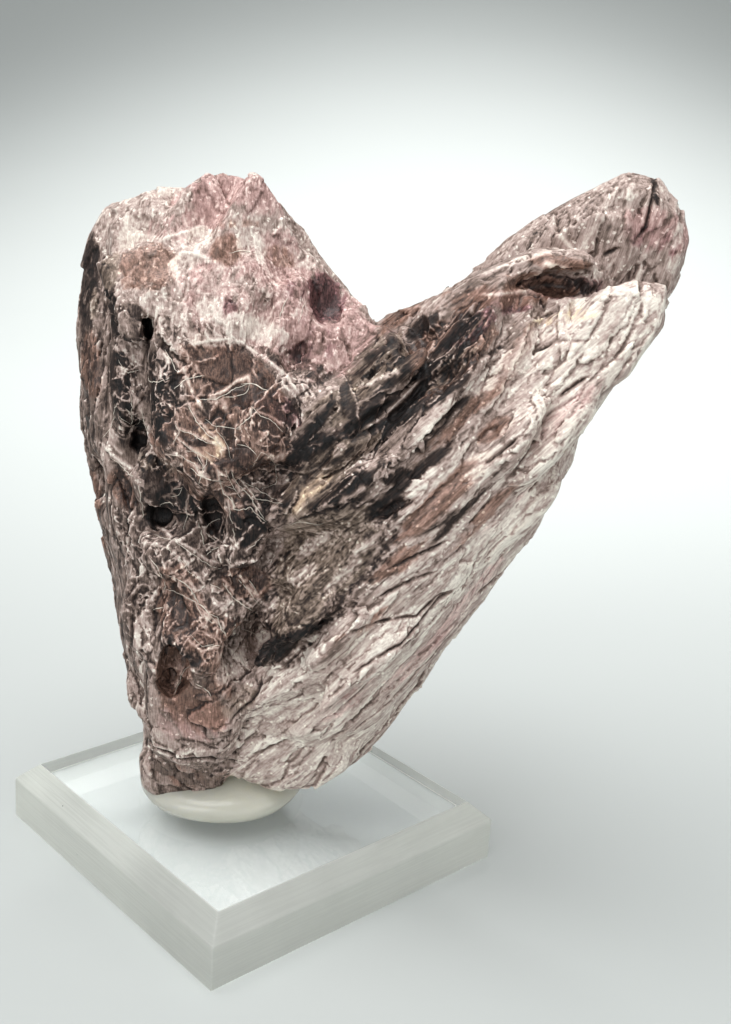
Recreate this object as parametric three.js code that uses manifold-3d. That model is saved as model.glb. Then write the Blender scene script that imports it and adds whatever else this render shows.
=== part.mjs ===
// A lepidolite specimen on its display base: two thick books of lilac mica grown together in a V, with a thin
// leaf standing up behind the right one, seated in a bead of clear putty on a bevelled acrylic slab.
// Millimetres. +Z is up, -Y faces the viewer and +X is to the viewer's right. The slab stands cornerwise to
// the viewer, and the origin is the centre of its underside.
import * as THREE from "three";
import { mergeVertices } from "three/addons/utils/BufferGeometryUtils.js";
import Module from "manifold-3d";

// Acrylic slab
const SLAB_SIDE = 76;
const SLAB_HEIGHT = 13.6;
const SLAB_BEVEL = 4.1;

// Bead of putty
const BEAD_CENTRE = [-6.5, -2];
const BEAD_CONTACT_RADIUS = 16.2;
const BEAD_BULGE_RADIUS = 17.8;
const BEAD_HEIGHT = 7.2;
const BEAD_FACETS = 24;
const BEAD_WOBBLE = 0.025;
const TOUCHING_GAP = 0.4;

// Outlines of the two books, seen from the viewer's side, as X and Z
const LEFT_OUTLINE = [
  [-36, 135.5], [-28, 139], [-18, 143.5], [-8, 145.5], [-1.5, 143.5], [1.5, 138.5], [8, 132.5], [14, 126],
  [21, 118], [17, 104], [11, 88], [7, 68], [4, 48], [0, 30], [-4, 20], [-10, 16.5], [-17, 15],
  [-21, 16.5], [-23, 22], [-25.5, 33], [-28.5, 45], [-31, 57], [-34, 71], [-36, 82], [-38.5, 95],
  [-40, 105], [-39, 117], [-38.5, 128],
];
const RIGHT_OUTLINE = [
  [18, 117.5], [26, 122], [33, 124.5], [39, 130], [50, 134.8], [60, 134.5], [69, 131], [75.5, 129.5],
  [76.5, 122], [73, 113], [67, 102], [61.5, 92], [56.5, 81.5], [50.5, 70.5], [46, 60], [40.5, 48.5],
  [33.5, 37.5], [26.5, 28], [19, 21.5], [10, 17.8], [2, 16.5], [-6, 18], [-8, 28], [-6, 44], [-4, 62],
  [-1, 80], [4, 98], [11, 110],
];
const TIP_OUTLINE = [
  [30, 112], [36, 126], [47, 137.5], [57, 144.5], [67, 150], [73, 149.5], [79.5, 144.5], [81.5, 139],
  [79.5, 129], [77, 120], [70, 106], [60, 90], [48, 78], [36, 84], [28, 98],
];

// Each book as a mass: its middle plane's depth and lean, and how far it swells to the front and the back
const LEFT_BOOK = {
  outline: LEFT_OUTLINE, centre: [-13, 84],
  depth: 1, leanX: -0.1, leanZ: 0.12,
  rim: 6, front: 13, back: 15,
};
const RIGHT_BOOK = {
  outline: RIGHT_OUTLINE, centre: [28, 80],
  depth: -2, leanX: 0.06, leanZ: 0.04,
  rim: 5.5, front: 16, back: 14,
};

// Each book's mass as rings of corners, as shares of its outline, and how full its faces are out to the rim
const MASS_CORNERS = 44;
const MASS_RINGS = [0.3, 0.58, 0.8, 0.93, 1];
const MASS_FULLNESS = 3.2;
const RIM_SHARE = 0.72;

// Directions in which the sheets of each book face
const LEFT_CLEAVAGE = new THREE.Vector3(0.36, -0.86, 0.36).normalize();
const RIGHT_CLEAVAGE = new THREE.Vector3(-0.56, -0.62, 0.54).normalize();
const ARM_DIRECTION = new THREE.Vector3(0.68, 0, 0.73).normalize();

// Directions in which the flakes on the back face, and plain directions
const RIGHT_BACK_FACING = new THREE.Vector3(0.2, 0.9, -0.3).normalize();
const LEFT_BACK_FACING = new THREE.Vector3(-0.15, 0.95, 0.1).normalize();
const towardsViewer = new THREE.Vector3(0, -1, 0);
const toTheRight = new THREE.Vector3(1, 0, 0);
const upwards = new THREE.Vector3(0, 0, 1);

// Sides of a mass along Y
const FRONT = -1;
const BACK = 1;

// How far neighbouring sheets overlap, and how much is left off where a mass ends in a point
const SHEET_OVERLAP = 0.3;
const SKIN = 1;

// Size of the solid core of each book, as a share of the book, and how many corners its outline has
const CORE_SHARE = 0.8;
const CORE_CORNERS = 12;

// Forms flatter than this are smoothed away
const SMALLEST_DETAIL = 0.5;

// How the books part into sheets, and the flakes that lie on them
const LEFT_SHEETS = {
  facing: LEFT_CLEAVAGE, along: upwards, thickness: 5.4, corners: 15,
  inset: 0.2, slideAlong: 0.6, slideAcross: 0.4, seed: 7,
};
const RIGHT_SHEETS = {
  facing: RIGHT_CLEAVAGE, along: ARM_DIRECTION, thickness: 4.7, corners: 14,
  inset: 1, slideAlong: 1.6, slideAcross: 0.5, seed: 11,
};
const RIGHT_FRONT_FLAKES = {
  count: 16, low: [0, 24], high: [68, 126], side: FRONT, sizes: [12, 26], share: [0.22, 0.34],
  thick: 3, lift: 1.3, facing: RIGHT_CLEAVAGE, along: ARM_DIRECTION, turn: 0.2, seed: 23,
};
const LEFT_FRONT_FLAKES = {
  count: 12, low: [-34, 30], high: [6, 136], side: FRONT, sizes: [11, 20], share: [0.4, 0.7],
  thick: 3, lift: 1.2, facing: LEFT_CLEAVAGE, along: upwards, turn: 0.45, seed: 31,
};
const RIGHT_BACK_FLAKES = {
  count: 8, low: [0, 26], high: [66, 126], side: BACK, sizes: [14, 30], share: [0.25, 0.45],
  thick: 3.2, lift: 1.2, facing: RIGHT_BACK_FACING, along: ARM_DIRECTION, turn: 0.25, seed: 41,
};
const LEFT_BACK_FLAKES = {
  count: 8, low: [-34, 30], high: [8, 138], side: BACK, sizes: [12, 26], share: [0.4, 0.7],
  thick: 3.2, lift: 1.2, facing: LEFT_BACK_FACING, along: upwards, turn: 0.4, seed: 53,
};

// Plates grown on the front of the left book: its foot, the lobe above it, the big curled flake, the steps,
// and the corner at the top
const LEFT_PLATES = [
  {
    outline: [[-23, 27], [-22, 18], [-17.5, 15.2], [-10, 16.4], [-4.5, 20.5], [-3, 28], [-12, 31]],
    lift: 0.5, thick: 20, leanZ: -0.15, bevel: 1.5,
  },
  {
    outline: [
      [-21.6, 40], [-20, 30], [-12.4, 27.2], [-4, 29], [-0.8, 38.5], [-3, 48], [-10.7, 62.4], [-19, 58],
    ],
    lift: 2.2, thick: 8, leanZ: -0.1, bevel: 2,
  },
  {
    outline: [
      [-21, 106], [-19, 115], [-10, 118.6], [-1.3, 113.3], [6.7, 103.3], [5, 95], [-9, 88], [-19, 95],
    ],
    lift: 2.4, thick: 7, leanX: 0.1, leanZ: 0.3, bevel: 1.4,
  },
  {
    outline: [[-33, 127], [-25, 131.5], [-12, 132], [-2, 130], [2, 125], [-6, 121], [-20, 119], [-31, 121]],
    lift: 1.6, thick: 5, leanZ: 0.45,
  },
  {
    outline: [[-29, 120], [-21, 127], [-10, 127.5], [-3, 123], [-3, 117], [-14, 113], [-27, 114]],
    lift: 2.8, thick: 5, leanZ: 0.4,
  },
  {
    outline: [
      [-40, 104], [-39.6, 119], [-38.2, 130], [-35.5, 136], [-26, 140], [-20, 136], [-26, 110], [-34, 98],
    ],
    lift: -4, thick: 12, leanX: -0.5, leanZ: 0.3,
  },
];

// Plates on the front of the right book: its foot, the lip above its hollow, the wing beside it, and the
// knobs at the valley
const RIGHT_PLATES = [
  {
    outline: [[-4.5, 27], [-2, 22.5], [6, 19.8], [15, 21.5], [23, 28], [17, 34], [4, 37], [-4, 34]],
    lift: -2, thick: 12, leanZ: -0.1, bevel: 1.4,
  },
  {
    outline: [
      [30, 124], [38, 129.5], [50, 135.2], [60, 135], [61.5, 133], [50, 130.5], [38, 124], [31, 120],
    ],
    lift: -1.5, thick: 8, leanZ: 0.2,
  },
  {
    outline: [
      [57, 120], [62.6, 128.2], [69.3, 130.8], [75, 130.2], [76, 122], [71, 112], [62, 104], [55, 108],
    ],
    lift: 2, thick: 6, leanX: 0.1, leanZ: 0.25, bevel: 1.4,
  },
  {
    outline: [[5, 98], [9, 107], [15, 109], [18, 104], [15, 97], [9, 93]],
    lift: 2.6, thick: 6, leanX: -0.2, leanZ: 0.2, bevel: 1.8,
  },
  {
    outline: [[2, 82], [5, 88.5], [13, 92], [15, 87.5], [10, 83]],
    lift: 2.6, thick: 5, leanX: -0.2, leanZ: 0.3, bevel: 1.4,
  },
];

// Hollows and slots worn or broken into each book
const HOLLOW_FACETS = 7;
const LEFT_HOLLOWS = [
  { at: [-22, 116], halfSizes: [1.8, 5, 4.5] },
  { at: [-24.5, 94], halfSizes: [2.6, 6, 8] },
  { at: [-18.5, 80], halfSizes: [5, 5, 3.4] },
  { at: [-8.5, 80], halfSizes: [4.2, 5, 7] },
  { at: [-34, 83], halfSizes: [4, 5, 8] },
  { at: [-14, 52], halfSizes: [4.5, 5, 10], tilt: 0.2 },
  { at: [2, 54.5], halfSizes: [4, 6, 6] },
  { at: [11.6, 123.8], halfSizes: [4.4, 5, 5.6], tilt: 0.4 },
  { at: [6, 113], halfSizes: [3.8, 4, 5] },
];
const RIGHT_HOLLOWS = [
  { at: [55, 130.2], sunk: -1, halfSizes: [11, 8, 3], tilt: -0.12 },
  { at: [31.7, 111], halfSizes: [6, 4, 1.6], tilt: -0.75 },
  { at: [23.2, 99], halfSizes: [6.5, 4, 1.7], tilt: -0.8 },
];

// Sheets of the leaf at the tip, from the front to the back, drawn in towards a point where they are smaller
const TIP_SCALE_OUTLINE = [[45, 128], [50, 136.5], [60, 143], [68, 143], [71, 136], [66, 126], [54, 121]];
const TIP_ANCHOR = [50, 105];
const TIP_SHEETS = [
  { outline: TIP_SCALE_OUTLINE, depth: 2.2, thick: 4 },
  { outline: TIP_OUTLINE, depth: 4, thick: 4, share: 0.965 },
  { outline: TIP_OUTLINE, depth: 6.6, thick: 4 },
  { outline: TIP_OUTLINE, depth: 9.6, thick: 3.4, share: 0.94 },
];

const wasm = await Module();
wasm.setup();

// A geometry with only its positions, its shared corners merged and its collapsed faces left out.
function mergedOf(geometry) {
  const bare = new THREE.BufferGeometry().setAttribute("position", geometry.getAttribute("position"));
  if (geometry.index) bare.setIndex(geometry.index);
  const merged = mergeVertices(bare, 1e-4);
  const index = merged.index.array;
  const kept = [];
  for (let i = 0; i < index.length; i += 3) {
    const [a, b, c] = [index[i], index[i + 1], index[i + 2]];
    if (a !== b && b !== c && c !== a) kept.push(a, b, c);
  }
  merged.setIndex(kept);
  return merged;
}

// A closed three.js geometry as a solid that can be cut and joined.
function solidOf(geometry) {
  const merged = mergedOf(geometry);
  return new wasm.Manifold(new wasm.Mesh({
    numProp: 3,
    vertProperties: new Float32Array(merged.attributes.position.array),
    triVerts: new Uint32Array(merged.index.array),
  }));
}

function geometryOf(solid) {
  const { vertProperties, triVerts } = solid.getMesh();
  const geometry = new THREE.BufferGeometry();
  geometry.setAttribute("position", new THREE.BufferAttribute(new Float32Array(vertProperties), 3));
  geometry.setIndex(new THREE.BufferAttribute(new Uint32Array(triVerts), 1));
  geometry.computeVertexNormals();
  return geometry;
}

const joined = (solids) => solids.reduce((all, solid) => all.add(solid));

// The shell of a solid with the most faces, without the crumbs and sealed pockets that cuts and joins leave.
function outerShellOf(solid) {
  const { vertProperties, triVerts } = solid.getMesh();
  const parent = Array.from({ length: vertProperties.length / 3 }, (_, i) => i);
  const rootOf = (i) => {
    while (parent[i] !== i) i = parent[i] = parent[parent[i]];
    return i;
  };
  for (let i = 0; i < triVerts.length; i += 3) {
    parent[rootOf(triVerts[i])] = rootOf(triVerts[i + 1]);
    parent[rootOf(triVerts[i + 1])] = rootOf(triVerts[i + 2]);
  }
  const firsts = Array.from({ length: triVerts.length / 3 }, (_, i) => 3 * i);
  const shells = Map.groupBy(firsts, (i) => rootOf(triVerts[i]));
  const largest = [...shells.values()].reduce((best, shell) => (shell.length > best.length ? shell : best));
  const geometry = new THREE.BufferGeometry();
  geometry.setAttribute("position", new THREE.BufferAttribute(new Float32Array(vertProperties), 3));
  geometry.setIndex(largest.flatMap((i) => [...triVerts.slice(i, i + 3)]));
  return solidOf(geometry);
}

// Repeatable random numbers from 0 to 1.
function randomFrom(seed) {
  let state = seed;
  return () => {
    state = (state * 1664525 + 1013904223) % 4294967296;
    return state / 4294967296;
  };
}

// A mass with the given outline, swelling to the front and the back of a leaning middle plane.
function bookMass({ outline, centre, depth, leanX, leanZ, rim, front, back }, around = MASS_CORNERS) {
  const curve = new THREE.CatmullRomCurve3(
    outline.map(([x, z]) => new THREE.Vector3(x, 0, z)), true, "catmullrom", 0.35);
  const edge = curve.getSpacedPoints(around).slice(0, around);
  const middle = (x, z) => depth + leanX * (x - centre[0]) + leanZ * (z - centre[1]);
  const swell = (share) => 1 - share ** MASS_FULLNESS;
  const at = (point, share, side) => {
    const x = centre[0] + (point.x - centre[0]) * share;
    const z = centre[1] + (point.z - centre[1]) * share;
    const reach = rim * (share < 1 ? 1 : RIM_SHARE) + (side < 0 ? front : back) * swell(share);
    return [x, middle(x, z) + side * reach, z];
  };
  const layers = [
    ...MASS_RINGS.map((share) => edge.map((point) => at(point, share, FRONT))),
    ...MASS_RINGS.toReversed().map((share) => edge.map((point) => at(point, share, BACK))),
  ];
  const pole = (side) => {
    const reach = rim + (side < 0 ? front : back);
    return [centre[0], middle(...centre) + side * reach, centre[1]];
  };
  const positions = [pole(FRONT), ...layers.flat(), pole(BACK)].flat();
  const last = positions.length / 3 - 1;
  const index = [];
  for (let i = 0; i < around; i++) {
    const next = (i + 1) % around;
    index.push(0, 1 + i, 1 + next);
    for (let layer = 0; layer < layers.length - 1; layer++) {
      const [a, b] = [1 + layer * around + i, 1 + layer * around + next];
      index.push(a, a + around, b + around, a, b + around, b);
    }
    const first = 1 + (layers.length - 1) * around;
    index.push(last, first + next, first + i);
  }
  const geometry = new THREE.BufferGeometry();
  geometry.setAttribute("position", new THREE.BufferAttribute(new Float32Array(positions), 3));
  geometry.setIndex(index);
  return facingOut(geometry);
}

// The same geometry with its faces turned if they point inwards.
function facingOut(geometry) {
  const { array } = geometry.attributes.position;
  const index = geometry.index.array;
  const corner = (i) => new THREE.Vector3().fromArray(array, index[i] * 3);
  let volume = 0;
  for (let i = 0; i < index.length; i += 3) {
    volume += corner(i).dot(corner(i + 1).cross(corner(i + 2)));
  }
  if (volume < 0) {
    for (let i = 0; i < index.length; i += 3) [index[i], index[i + 1]] = [index[i + 1], index[i]];
  }
  return geometry;
}

// A mass rebuilt as the stack of sheets that its cleavage parts it into. Each sheet has the mass's outline at
// its level, with straight walls, and is slid a little in its own plane, so that its edge stands as a ledge.
function cleaved(mass, { facing, along, thickness, corners, inset, slideAlong, slideAcross, seed }) {
  const random = randomFrom(seed);
  const across = new THREE.Vector3().crossVectors(facing, along).normalize();
  const lengthways = new THREE.Vector3().crossVectors(across, facing);
  const points = mass.getAttribute("position");
  const levels = Array.from({ length: points.count }, (_, i) =>
    new THREE.Vector3().fromBufferAttribute(points, i).dot(facing));
  const [low, high] = [Math.min(...levels), Math.max(...levels)];
  const sheets = [];
  for (let level = low + SKIN; level < high - SKIN;) {
    const depth = Math.min(thickness * (0.6 + 0.8 * random()), high - SKIN - level);
    const centre = sectionCentre(mass, facing, level + depth / 2);
    const outline = sectionOutline(mass, centre, { lengthways, across, corners, inset }, random);
    const slide = lengthways.clone().multiplyScalar(slideAlong * (2 * random() - 1))
      .addScaledVector(across, slideAcross * (2 * random() - 1));
    const top = centre.clone().add(slide).addScaledVector(facing, depth / 2);
    sheets.push(solidOf(extruded(outline, {
      at: top.toArray(), thick: depth + SHEET_OVERLAP, facing, along: lengthways, bevel: 0,
    })));
    level += depth;
  }
  return joined(sheets);
}

// The middle of the points where a mass's edges cross the plane at a level along a direction.
function sectionCentre(mass, direction, level) {
  const points = mass.getAttribute("position");
  const index = mass.index.array;
  const corner = (i) => new THREE.Vector3().fromBufferAttribute(points, index[i]);
  const centre = new THREE.Vector3();
  let crossings = 0;
  for (let i = 0; i < index.length; i += 3) {
    for (const [from, to] of [[i, i + 1], [i + 1, i + 2], [i + 2, i]]) {
      const [a, b] = [corner(from), corner(to)];
      const share = (level - a.dot(direction)) / (b.dot(direction) - a.dot(direction));
      if (share >= 0 && share < 1) {
        centre.add(a.lerp(b, share));
        crossings++;
      }
    }
  }
  return centre.divideScalar(crossings);
}

// The outline of a mass around a point inside it, in the plane of two directions, as points on those axes.
function sectionOutline(mass, centre, { lengthways, across, corners, inset }, random) {
  const mesh = new THREE.Mesh(mass, new THREE.MeshBasicMaterial({ side: THREE.DoubleSide }));
  return Array.from({ length: corners }, (_, i) => {
    const angle = (2 * Math.PI * (i + 0.6 * random())) / corners;
    const way = lengthways.clone().multiplyScalar(Math.cos(angle))
      .addScaledVector(across, Math.sin(angle));
    const wall = new THREE.Raycaster(centre, way).intersectObject(mesh).at(-1)?.distance ?? 0;
    const reach = Math.max(1, wall - inset * random() * 2);
    return new THREE.Vector2(reach * Math.cos(angle), reach * Math.sin(angle));
  });
}

// A flat flake: a ragged oval with bevelled edges, looking one way and with its length along another.
function flake({ at, length, width, thick, facing, along, corners = 7, rough = 0.16 }, random) {
  const bevel = Math.min(0.7, 0.12 * width);
  const outline = [];
  for (let i = 0; i < corners; i++) {
    const angle = (2 * Math.PI * (i + 0.4 * random())) / corners;
    const reach = 1 + rough * (2 * random() - 1);
    const x = 0.5 * length * reach * Math.cos(angle);
    outline.push(new THREE.Vector2(x, 0.5 * width * reach * Math.sin(angle)));
  }
  return extruded(outline, { at, thick, facing, along, bevel });
}

// An outline given thickness behind a face that lies at a point, looks one way and is turned along another.
function extruded(outline, { at, thick, facing, along, bevel }) {
  const geometry = new THREE.ExtrudeGeometry(new THREE.Shape(outline), {
    depth: thick - 2 * bevel, bevelEnabled: bevel > 0, bevelThickness: bevel, bevelSize: bevel,
    bevelOffset: -bevel, bevelSegments: 1, steps: 1, curveSegments: 1,
  });
  geometry.translate(0, 0, bevel - thick);
  const normal = facing.clone().normalize();
  const side = new THREE.Vector3().crossVectors(normal, along).normalize();
  const lengthways = new THREE.Vector3().crossVectors(side, normal);
  geometry.applyMatrix4(new THREE.Matrix4().makeBasis(lengthways, side, normal));
  geometry.translate(...at);
  return geometry;
}

// Where a line along Y through X, Z meets a mass, from the front (side -1) or the back (side 1), or null.
function surfaceDepth(mass, x, z, side) {
  const mesh = new THREE.Mesh(mass, new THREE.MeshBasicMaterial({ side: THREE.DoubleSide }));
  const reach = 200;
  const ray = new THREE.Raycaster(new THREE.Vector3(x, side * reach, z), new THREE.Vector3(0, -side, 0));
  const [hit] = ray.intersectObject(mesh);
  return hit ? hit.point.y : null;
}

// Flakes scattered over one side of a mass between two corners of a rectangle in X and Z.
function scattered(mass, { count, low, high, side, sizes, share, thick, lift, facing, along, turn, seed }) {
  const random = randomFrom(seed);
  const flakes = [];
  for (let tries = 0; flakes.length < count && tries < count * 8; tries++) {
    const x = low[0] + (high[0] - low[0]) * random();
    const z = low[1] + (high[1] - low[1]) * random();
    const length = sizes[0] + (sizes[1] - sizes[0]) * random();
    const depth = surfaceDepth(mass, x, z, side);
    const overhangs = [-0.8, 0.8].some((end) =>
      surfaceDepth(mass, x + end * length * along.x, z + end * length * along.z, side) === null);
    if (depth === null || overhangs) continue;
    const swing = turn * (2 * random() - 1);
    const tipped = facing.clone().add(new THREE.Vector3(random() - 0.5, random() - 0.5, random() - 0.5)
      .multiplyScalar(turn)).normalize();
    flakes.push(solidOf(flake({
      at: [x, depth + side * lift, z],
      length,
      width: length * (share[0] + (share[1] - share[0]) * random()),
      thick: thick * (0.8 + 0.6 * random()),
      facing: tipped,
      along: along.clone().applyAxisAngle(tipped, swing),
    }, random)));
  }
  return flakes;
}

// A plate grown on the front of a mass. Its outline is given as X and Z, its face stands out from the mass by
// lift at the outline's middle, and it leans back by leanX and leanZ for each millimetre to the right and up.
function plate(mass, { outline, lift, thick, leanX = 0, leanZ = 0, bevel = 1 }) {
  const points = outline.map(([x, z]) => new THREE.Vector2(x, z));
  const middle = new THREE.Box2().setFromPoints(points).getCenter(new THREE.Vector2());
  const depth = surfaceDepth(mass, middle.x, middle.y, FRONT) - lift;
  const geometry = extruded(points, {
    at: [0, depth, 0], thick, facing: towardsViewer, along: toTheRight, bevel,
  });
  const position = geometry.getAttribute("position");
  for (let i = 0; i < position.count; i++) {
    const lean = leanX * (position.getX(i) - middle.x) + leanZ * (position.getZ(i) - middle.y);
    position.setY(i, position.getY(i) + lean);
  }
  return solidOf(geometry);
}

// A rounded hollow in the front of a mass: an ellipsoid with the given half sizes, its middle at X and Z and
// sunk by the given depth, tilted in the plane that faces the viewer.
function hollow(mass, { at: [x, z], sunk = 0, halfSizes, tilt = 0 }) {
  const geometry = new THREE.SphereGeometry(1, HOLLOW_FACETS, HOLLOW_FACETS - 3);
  geometry.scale(...halfSizes);
  geometry.rotateY(tilt);
  geometry.translate(x, surfaceDepth(mass, x, z, FRONT) + sunk, z);
  return solidOf(geometry);
}

// A smaller and coarser copy of a book's mass, inside its sheets, which closes any gap between them.
function coreOf(book) {
  const mass = bookMass(book, CORE_CORNERS);
  mass.computeBoundingBox();
  const middle = mass.boundingBox.getCenter(new THREE.Vector3());
  mass.translate(-middle.x, -middle.y, -middle.z);
  mass.scale(CORE_SHARE, CORE_SHARE, CORE_SHARE);
  return solidOf(mass.translate(middle.x, middle.y, middle.z));
}

// One sheet of the leaf behind the right book, which stands clear of it at the tip
function tipSheet({ outline, depth, thick, share = 1 }) {
  const anchor = new THREE.Vector2(...TIP_ANCHOR);
  const points = outline.map(([x, z]) =>
    new THREE.Vector2(x, z).sub(anchor).multiplyScalar(share).add(anchor));
  return solidOf(extruded(points, {
    at: [0, depth, 0], thick, facing: towardsViewer, along: toTheRight, bevel: 0.9,
  }));
}

// The specimen: both books and the leaf, grown together, with their hollows
function specimenSolid() {
  const leftMass = bookMass(LEFT_BOOK);
  const rightMass = bookMass(RIGHT_BOOK);
  const grown = joined([
    coreOf(LEFT_BOOK),
    coreOf(RIGHT_BOOK),
    cleaved(leftMass, LEFT_SHEETS),
    cleaved(rightMass, RIGHT_SHEETS),
    ...TIP_SHEETS.map(tipSheet),
    ...LEFT_PLATES.map((description) => plate(leftMass, description)),
    ...RIGHT_PLATES.map((description) => plate(rightMass, description)),
    ...scattered(rightMass, RIGHT_FRONT_FLAKES),
    ...scattered(leftMass, LEFT_FRONT_FLAKES),
    ...scattered(rightMass, RIGHT_BACK_FLAKES),
    ...scattered(leftMass, LEFT_BACK_FLAKES),
  ]);
  const hollows = joined([
    ...LEFT_HOLLOWS.map((description) => hollow(leftMass, description)),
    ...RIGHT_HOLLOWS.map((description) => hollow(rightMass, description)),
  ]);
  return outerShellOf(grown.subtract(hollows).simplify(SMALLEST_DETAIL));
}

// The bead of putty as pressed on the slab: a low dome with a rolled edge, not quite round
function beadSolid() {
  const [base, crown] = [SLAB_HEIGHT + TOUCHING_GAP, SLAB_HEIGHT + BEAD_HEIGHT];
  const profile = [
    [0, base], [BEAD_CONTACT_RADIUS, base],
    [BEAD_BULGE_RADIUS - 0.3, base + 1], [BEAD_BULGE_RADIUS, base + 2.2],
    [BEAD_BULGE_RADIUS - 0.5, base + 3.8], [BEAD_CONTACT_RADIUS - 0.8, base + 5.4],
    [BEAD_CONTACT_RADIUS - 5, crown], [0, crown],
  ];
  const points = profile.map(([radius, z]) => new THREE.Vector2(radius, z));
  const geometry = new THREE.LatheGeometry(points, BEAD_FACETS);
  geometry.rotateX(Math.PI / 2);
  const position = geometry.getAttribute("position");
  for (let i = 0; i < position.count; i++) {
    const [x, y] = [position.getX(i), position.getY(i)];
    const wobble = 1 + BEAD_WOBBLE * Math.sin(3 * Math.atan2(y, x));
    position.setX(i, BEAD_CENTRE[0] + x * wobble);
    position.setY(i, BEAD_CENTRE[1] + y * wobble);
    position.setZ(i, Math.abs(position.getZ(i)));
  }
  return solidOf(facingOut(mergedOf(geometry)));
}

// A solid with room around it: itself joined with copies slid towards the corners of a tetrahedron.
function withRoom(solid, gap) {
  const slides = [[gap, gap, gap], [-gap, -gap, gap], [gap, -gap, -gap], [-gap, gap, -gap]];
  return joined([solid, ...slides.map((slide) => solid.translate(slide))]);
}

// The bead with the specimen's foot pressed into it
function seatedBead(specimen) {
  const reach = 4 * BEAD_BULGE_RADIUS;
  const block = new THREE.BoxGeometry(reach, reach, 2 * BEAD_HEIGHT);
  block.translate(BEAD_CENTRE[0], BEAD_CENTRE[1], SLAB_HEIGHT + BEAD_HEIGHT);
  const foot = specimen.intersect(solidOf(block));
  return outerShellOf(beadSolid().subtract(withRoom(foot, TOUCHING_GAP)));
}

// The slab: a square block with bevelled top edges, its corners on the X and Y axes
function slabGeometry() {
  const corner = SLAB_SIDE / Math.SQRT2;
  const profile = [[0, 0], [corner, 0], [corner, SLAB_HEIGHT - SLAB_BEVEL],
    [corner - SLAB_BEVEL * Math.SQRT2, SLAB_HEIGHT], [0, SLAB_HEIGHT]];
  const geometry = new THREE.LatheGeometry(profile.map(([radius, z]) => new THREE.Vector2(radius, z)), 4);
  geometry.rotateX(Math.PI / 2);
  return facingOut(mergedOf(geometry));
}

function node(name, geometry, material) {
  const mesh = new THREE.Mesh(geometry, new THREE.MeshStandardMaterial(material));
  mesh.name = name;
  return mesh;
}

const specimen = specimenSolid();
const part = new THREE.Group();
part.add(
  node("lepidolite", geometryOf(specimen), { color: 0xa98d8c, roughness: 0.5, metalness: 0 }),
  node("putty", geometryOf(seatedBead(specimen)), { color: 0xd6d8ca, roughness: 0.3, metalness: 0 }),
  node("acrylic_base", slabGeometry(), { color: 0xdfe4e0, roughness: 0.15, metalness: 0 }),
);

export default part;
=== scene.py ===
"""A V-shaped lepidolite specimen on its acrylic base, dressed for display.

Two books of mica sheets are grown together, set in a bead of clear putty on a square base with a bevelled
top edge. Lengths in the tables are millimetres in the part's frame: X right, Y away from the viewer, Z up.
"""

import itertools
import math

import bpy
import numpy as np
from mathutils import Matrix, Vector
from mathutils.bvhtree import BVHTree


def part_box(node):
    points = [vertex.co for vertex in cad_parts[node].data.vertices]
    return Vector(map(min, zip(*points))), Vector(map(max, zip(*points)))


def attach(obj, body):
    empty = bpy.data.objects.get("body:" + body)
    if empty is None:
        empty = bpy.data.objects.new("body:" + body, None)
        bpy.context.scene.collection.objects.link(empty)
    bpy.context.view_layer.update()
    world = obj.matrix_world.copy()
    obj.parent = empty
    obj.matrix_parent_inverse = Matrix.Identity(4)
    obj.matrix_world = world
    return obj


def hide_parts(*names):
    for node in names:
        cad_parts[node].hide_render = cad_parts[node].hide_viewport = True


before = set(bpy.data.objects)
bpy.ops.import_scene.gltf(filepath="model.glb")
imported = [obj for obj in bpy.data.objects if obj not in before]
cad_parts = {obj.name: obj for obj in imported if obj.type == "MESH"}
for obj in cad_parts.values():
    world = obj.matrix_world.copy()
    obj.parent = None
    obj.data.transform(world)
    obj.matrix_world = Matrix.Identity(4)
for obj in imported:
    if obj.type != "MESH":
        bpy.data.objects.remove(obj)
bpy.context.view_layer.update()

bl_info = {
    "name": "Lepidolite Specimen",
    "version": (1, 0, 0),
    "blender": (4, 5, 0),
    "location": "View3D > Sidebar > Lepidolite",
    "description": "Builds the looks of a lepidolite specimen on an acrylic display base",
    "category": "Add Mesh",
}

MM = 0.001

# The sheets of each book: the direction that they face, and the line that the arms follow
LEFT_CLEAVAGE = (0.36, -0.86, 0.36)
RIGHT_CLEAVAGE = (-0.56, -0.62, 0.54)
ARM_DIRECTION = (0.68, 0.0, 0.73)
TIP_DIRECTION = (0.26, 0.0, 0.97)
UPRIGHT = (0.0, 0.0, 1.0)

# The crease between the books, as X at each height Z
CREASE_Z = (15, 21, 45, 57.5, 72, 89, 102, 112, 120, 135)
CREASE_X = (-5, -3.6, 2.5, 0.2, 2.5, 3.4, 7.7, 14, 20.5, 26)

# Each book is made in two parts, which overlap inside by this much on both sides of the planes between them
PART_OVERLAP = 1.5
BOOK_PLANE = ((3.0, 0.0, 72.0), (0.97, 0.0, -0.24))
LEFT_PLANE = ((0.0, 0.0, 96.0), (0.0, 0.0, 1.0))
RIGHT_PLANE = ((56.4, 0.0, 60.6), (0.68, 0.0, 0.73))
BOOK_PARTS = {
    "left_mica_book_upper": ((BOOK_PLANE, 1), (LEFT_PLANE, -1)),
    "left_mica_book_lower": ((BOOK_PLANE, 1), (LEFT_PLANE, 1)),
    "right_mica_book_upper": ((BOOK_PLANE, -1), (RIGHT_PLANE, -1)),
    "right_mica_book_lower": ((BOOK_PLANE, -1), (RIGHT_PLANE, 1)),
}
FORM_GRID = 0.0007

HUES = ("pink", "plum", "brown", "green", "cream")
SURFACE_MASKS = ("shade", *HUES, "rim", "right_share", "tip_share")

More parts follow.
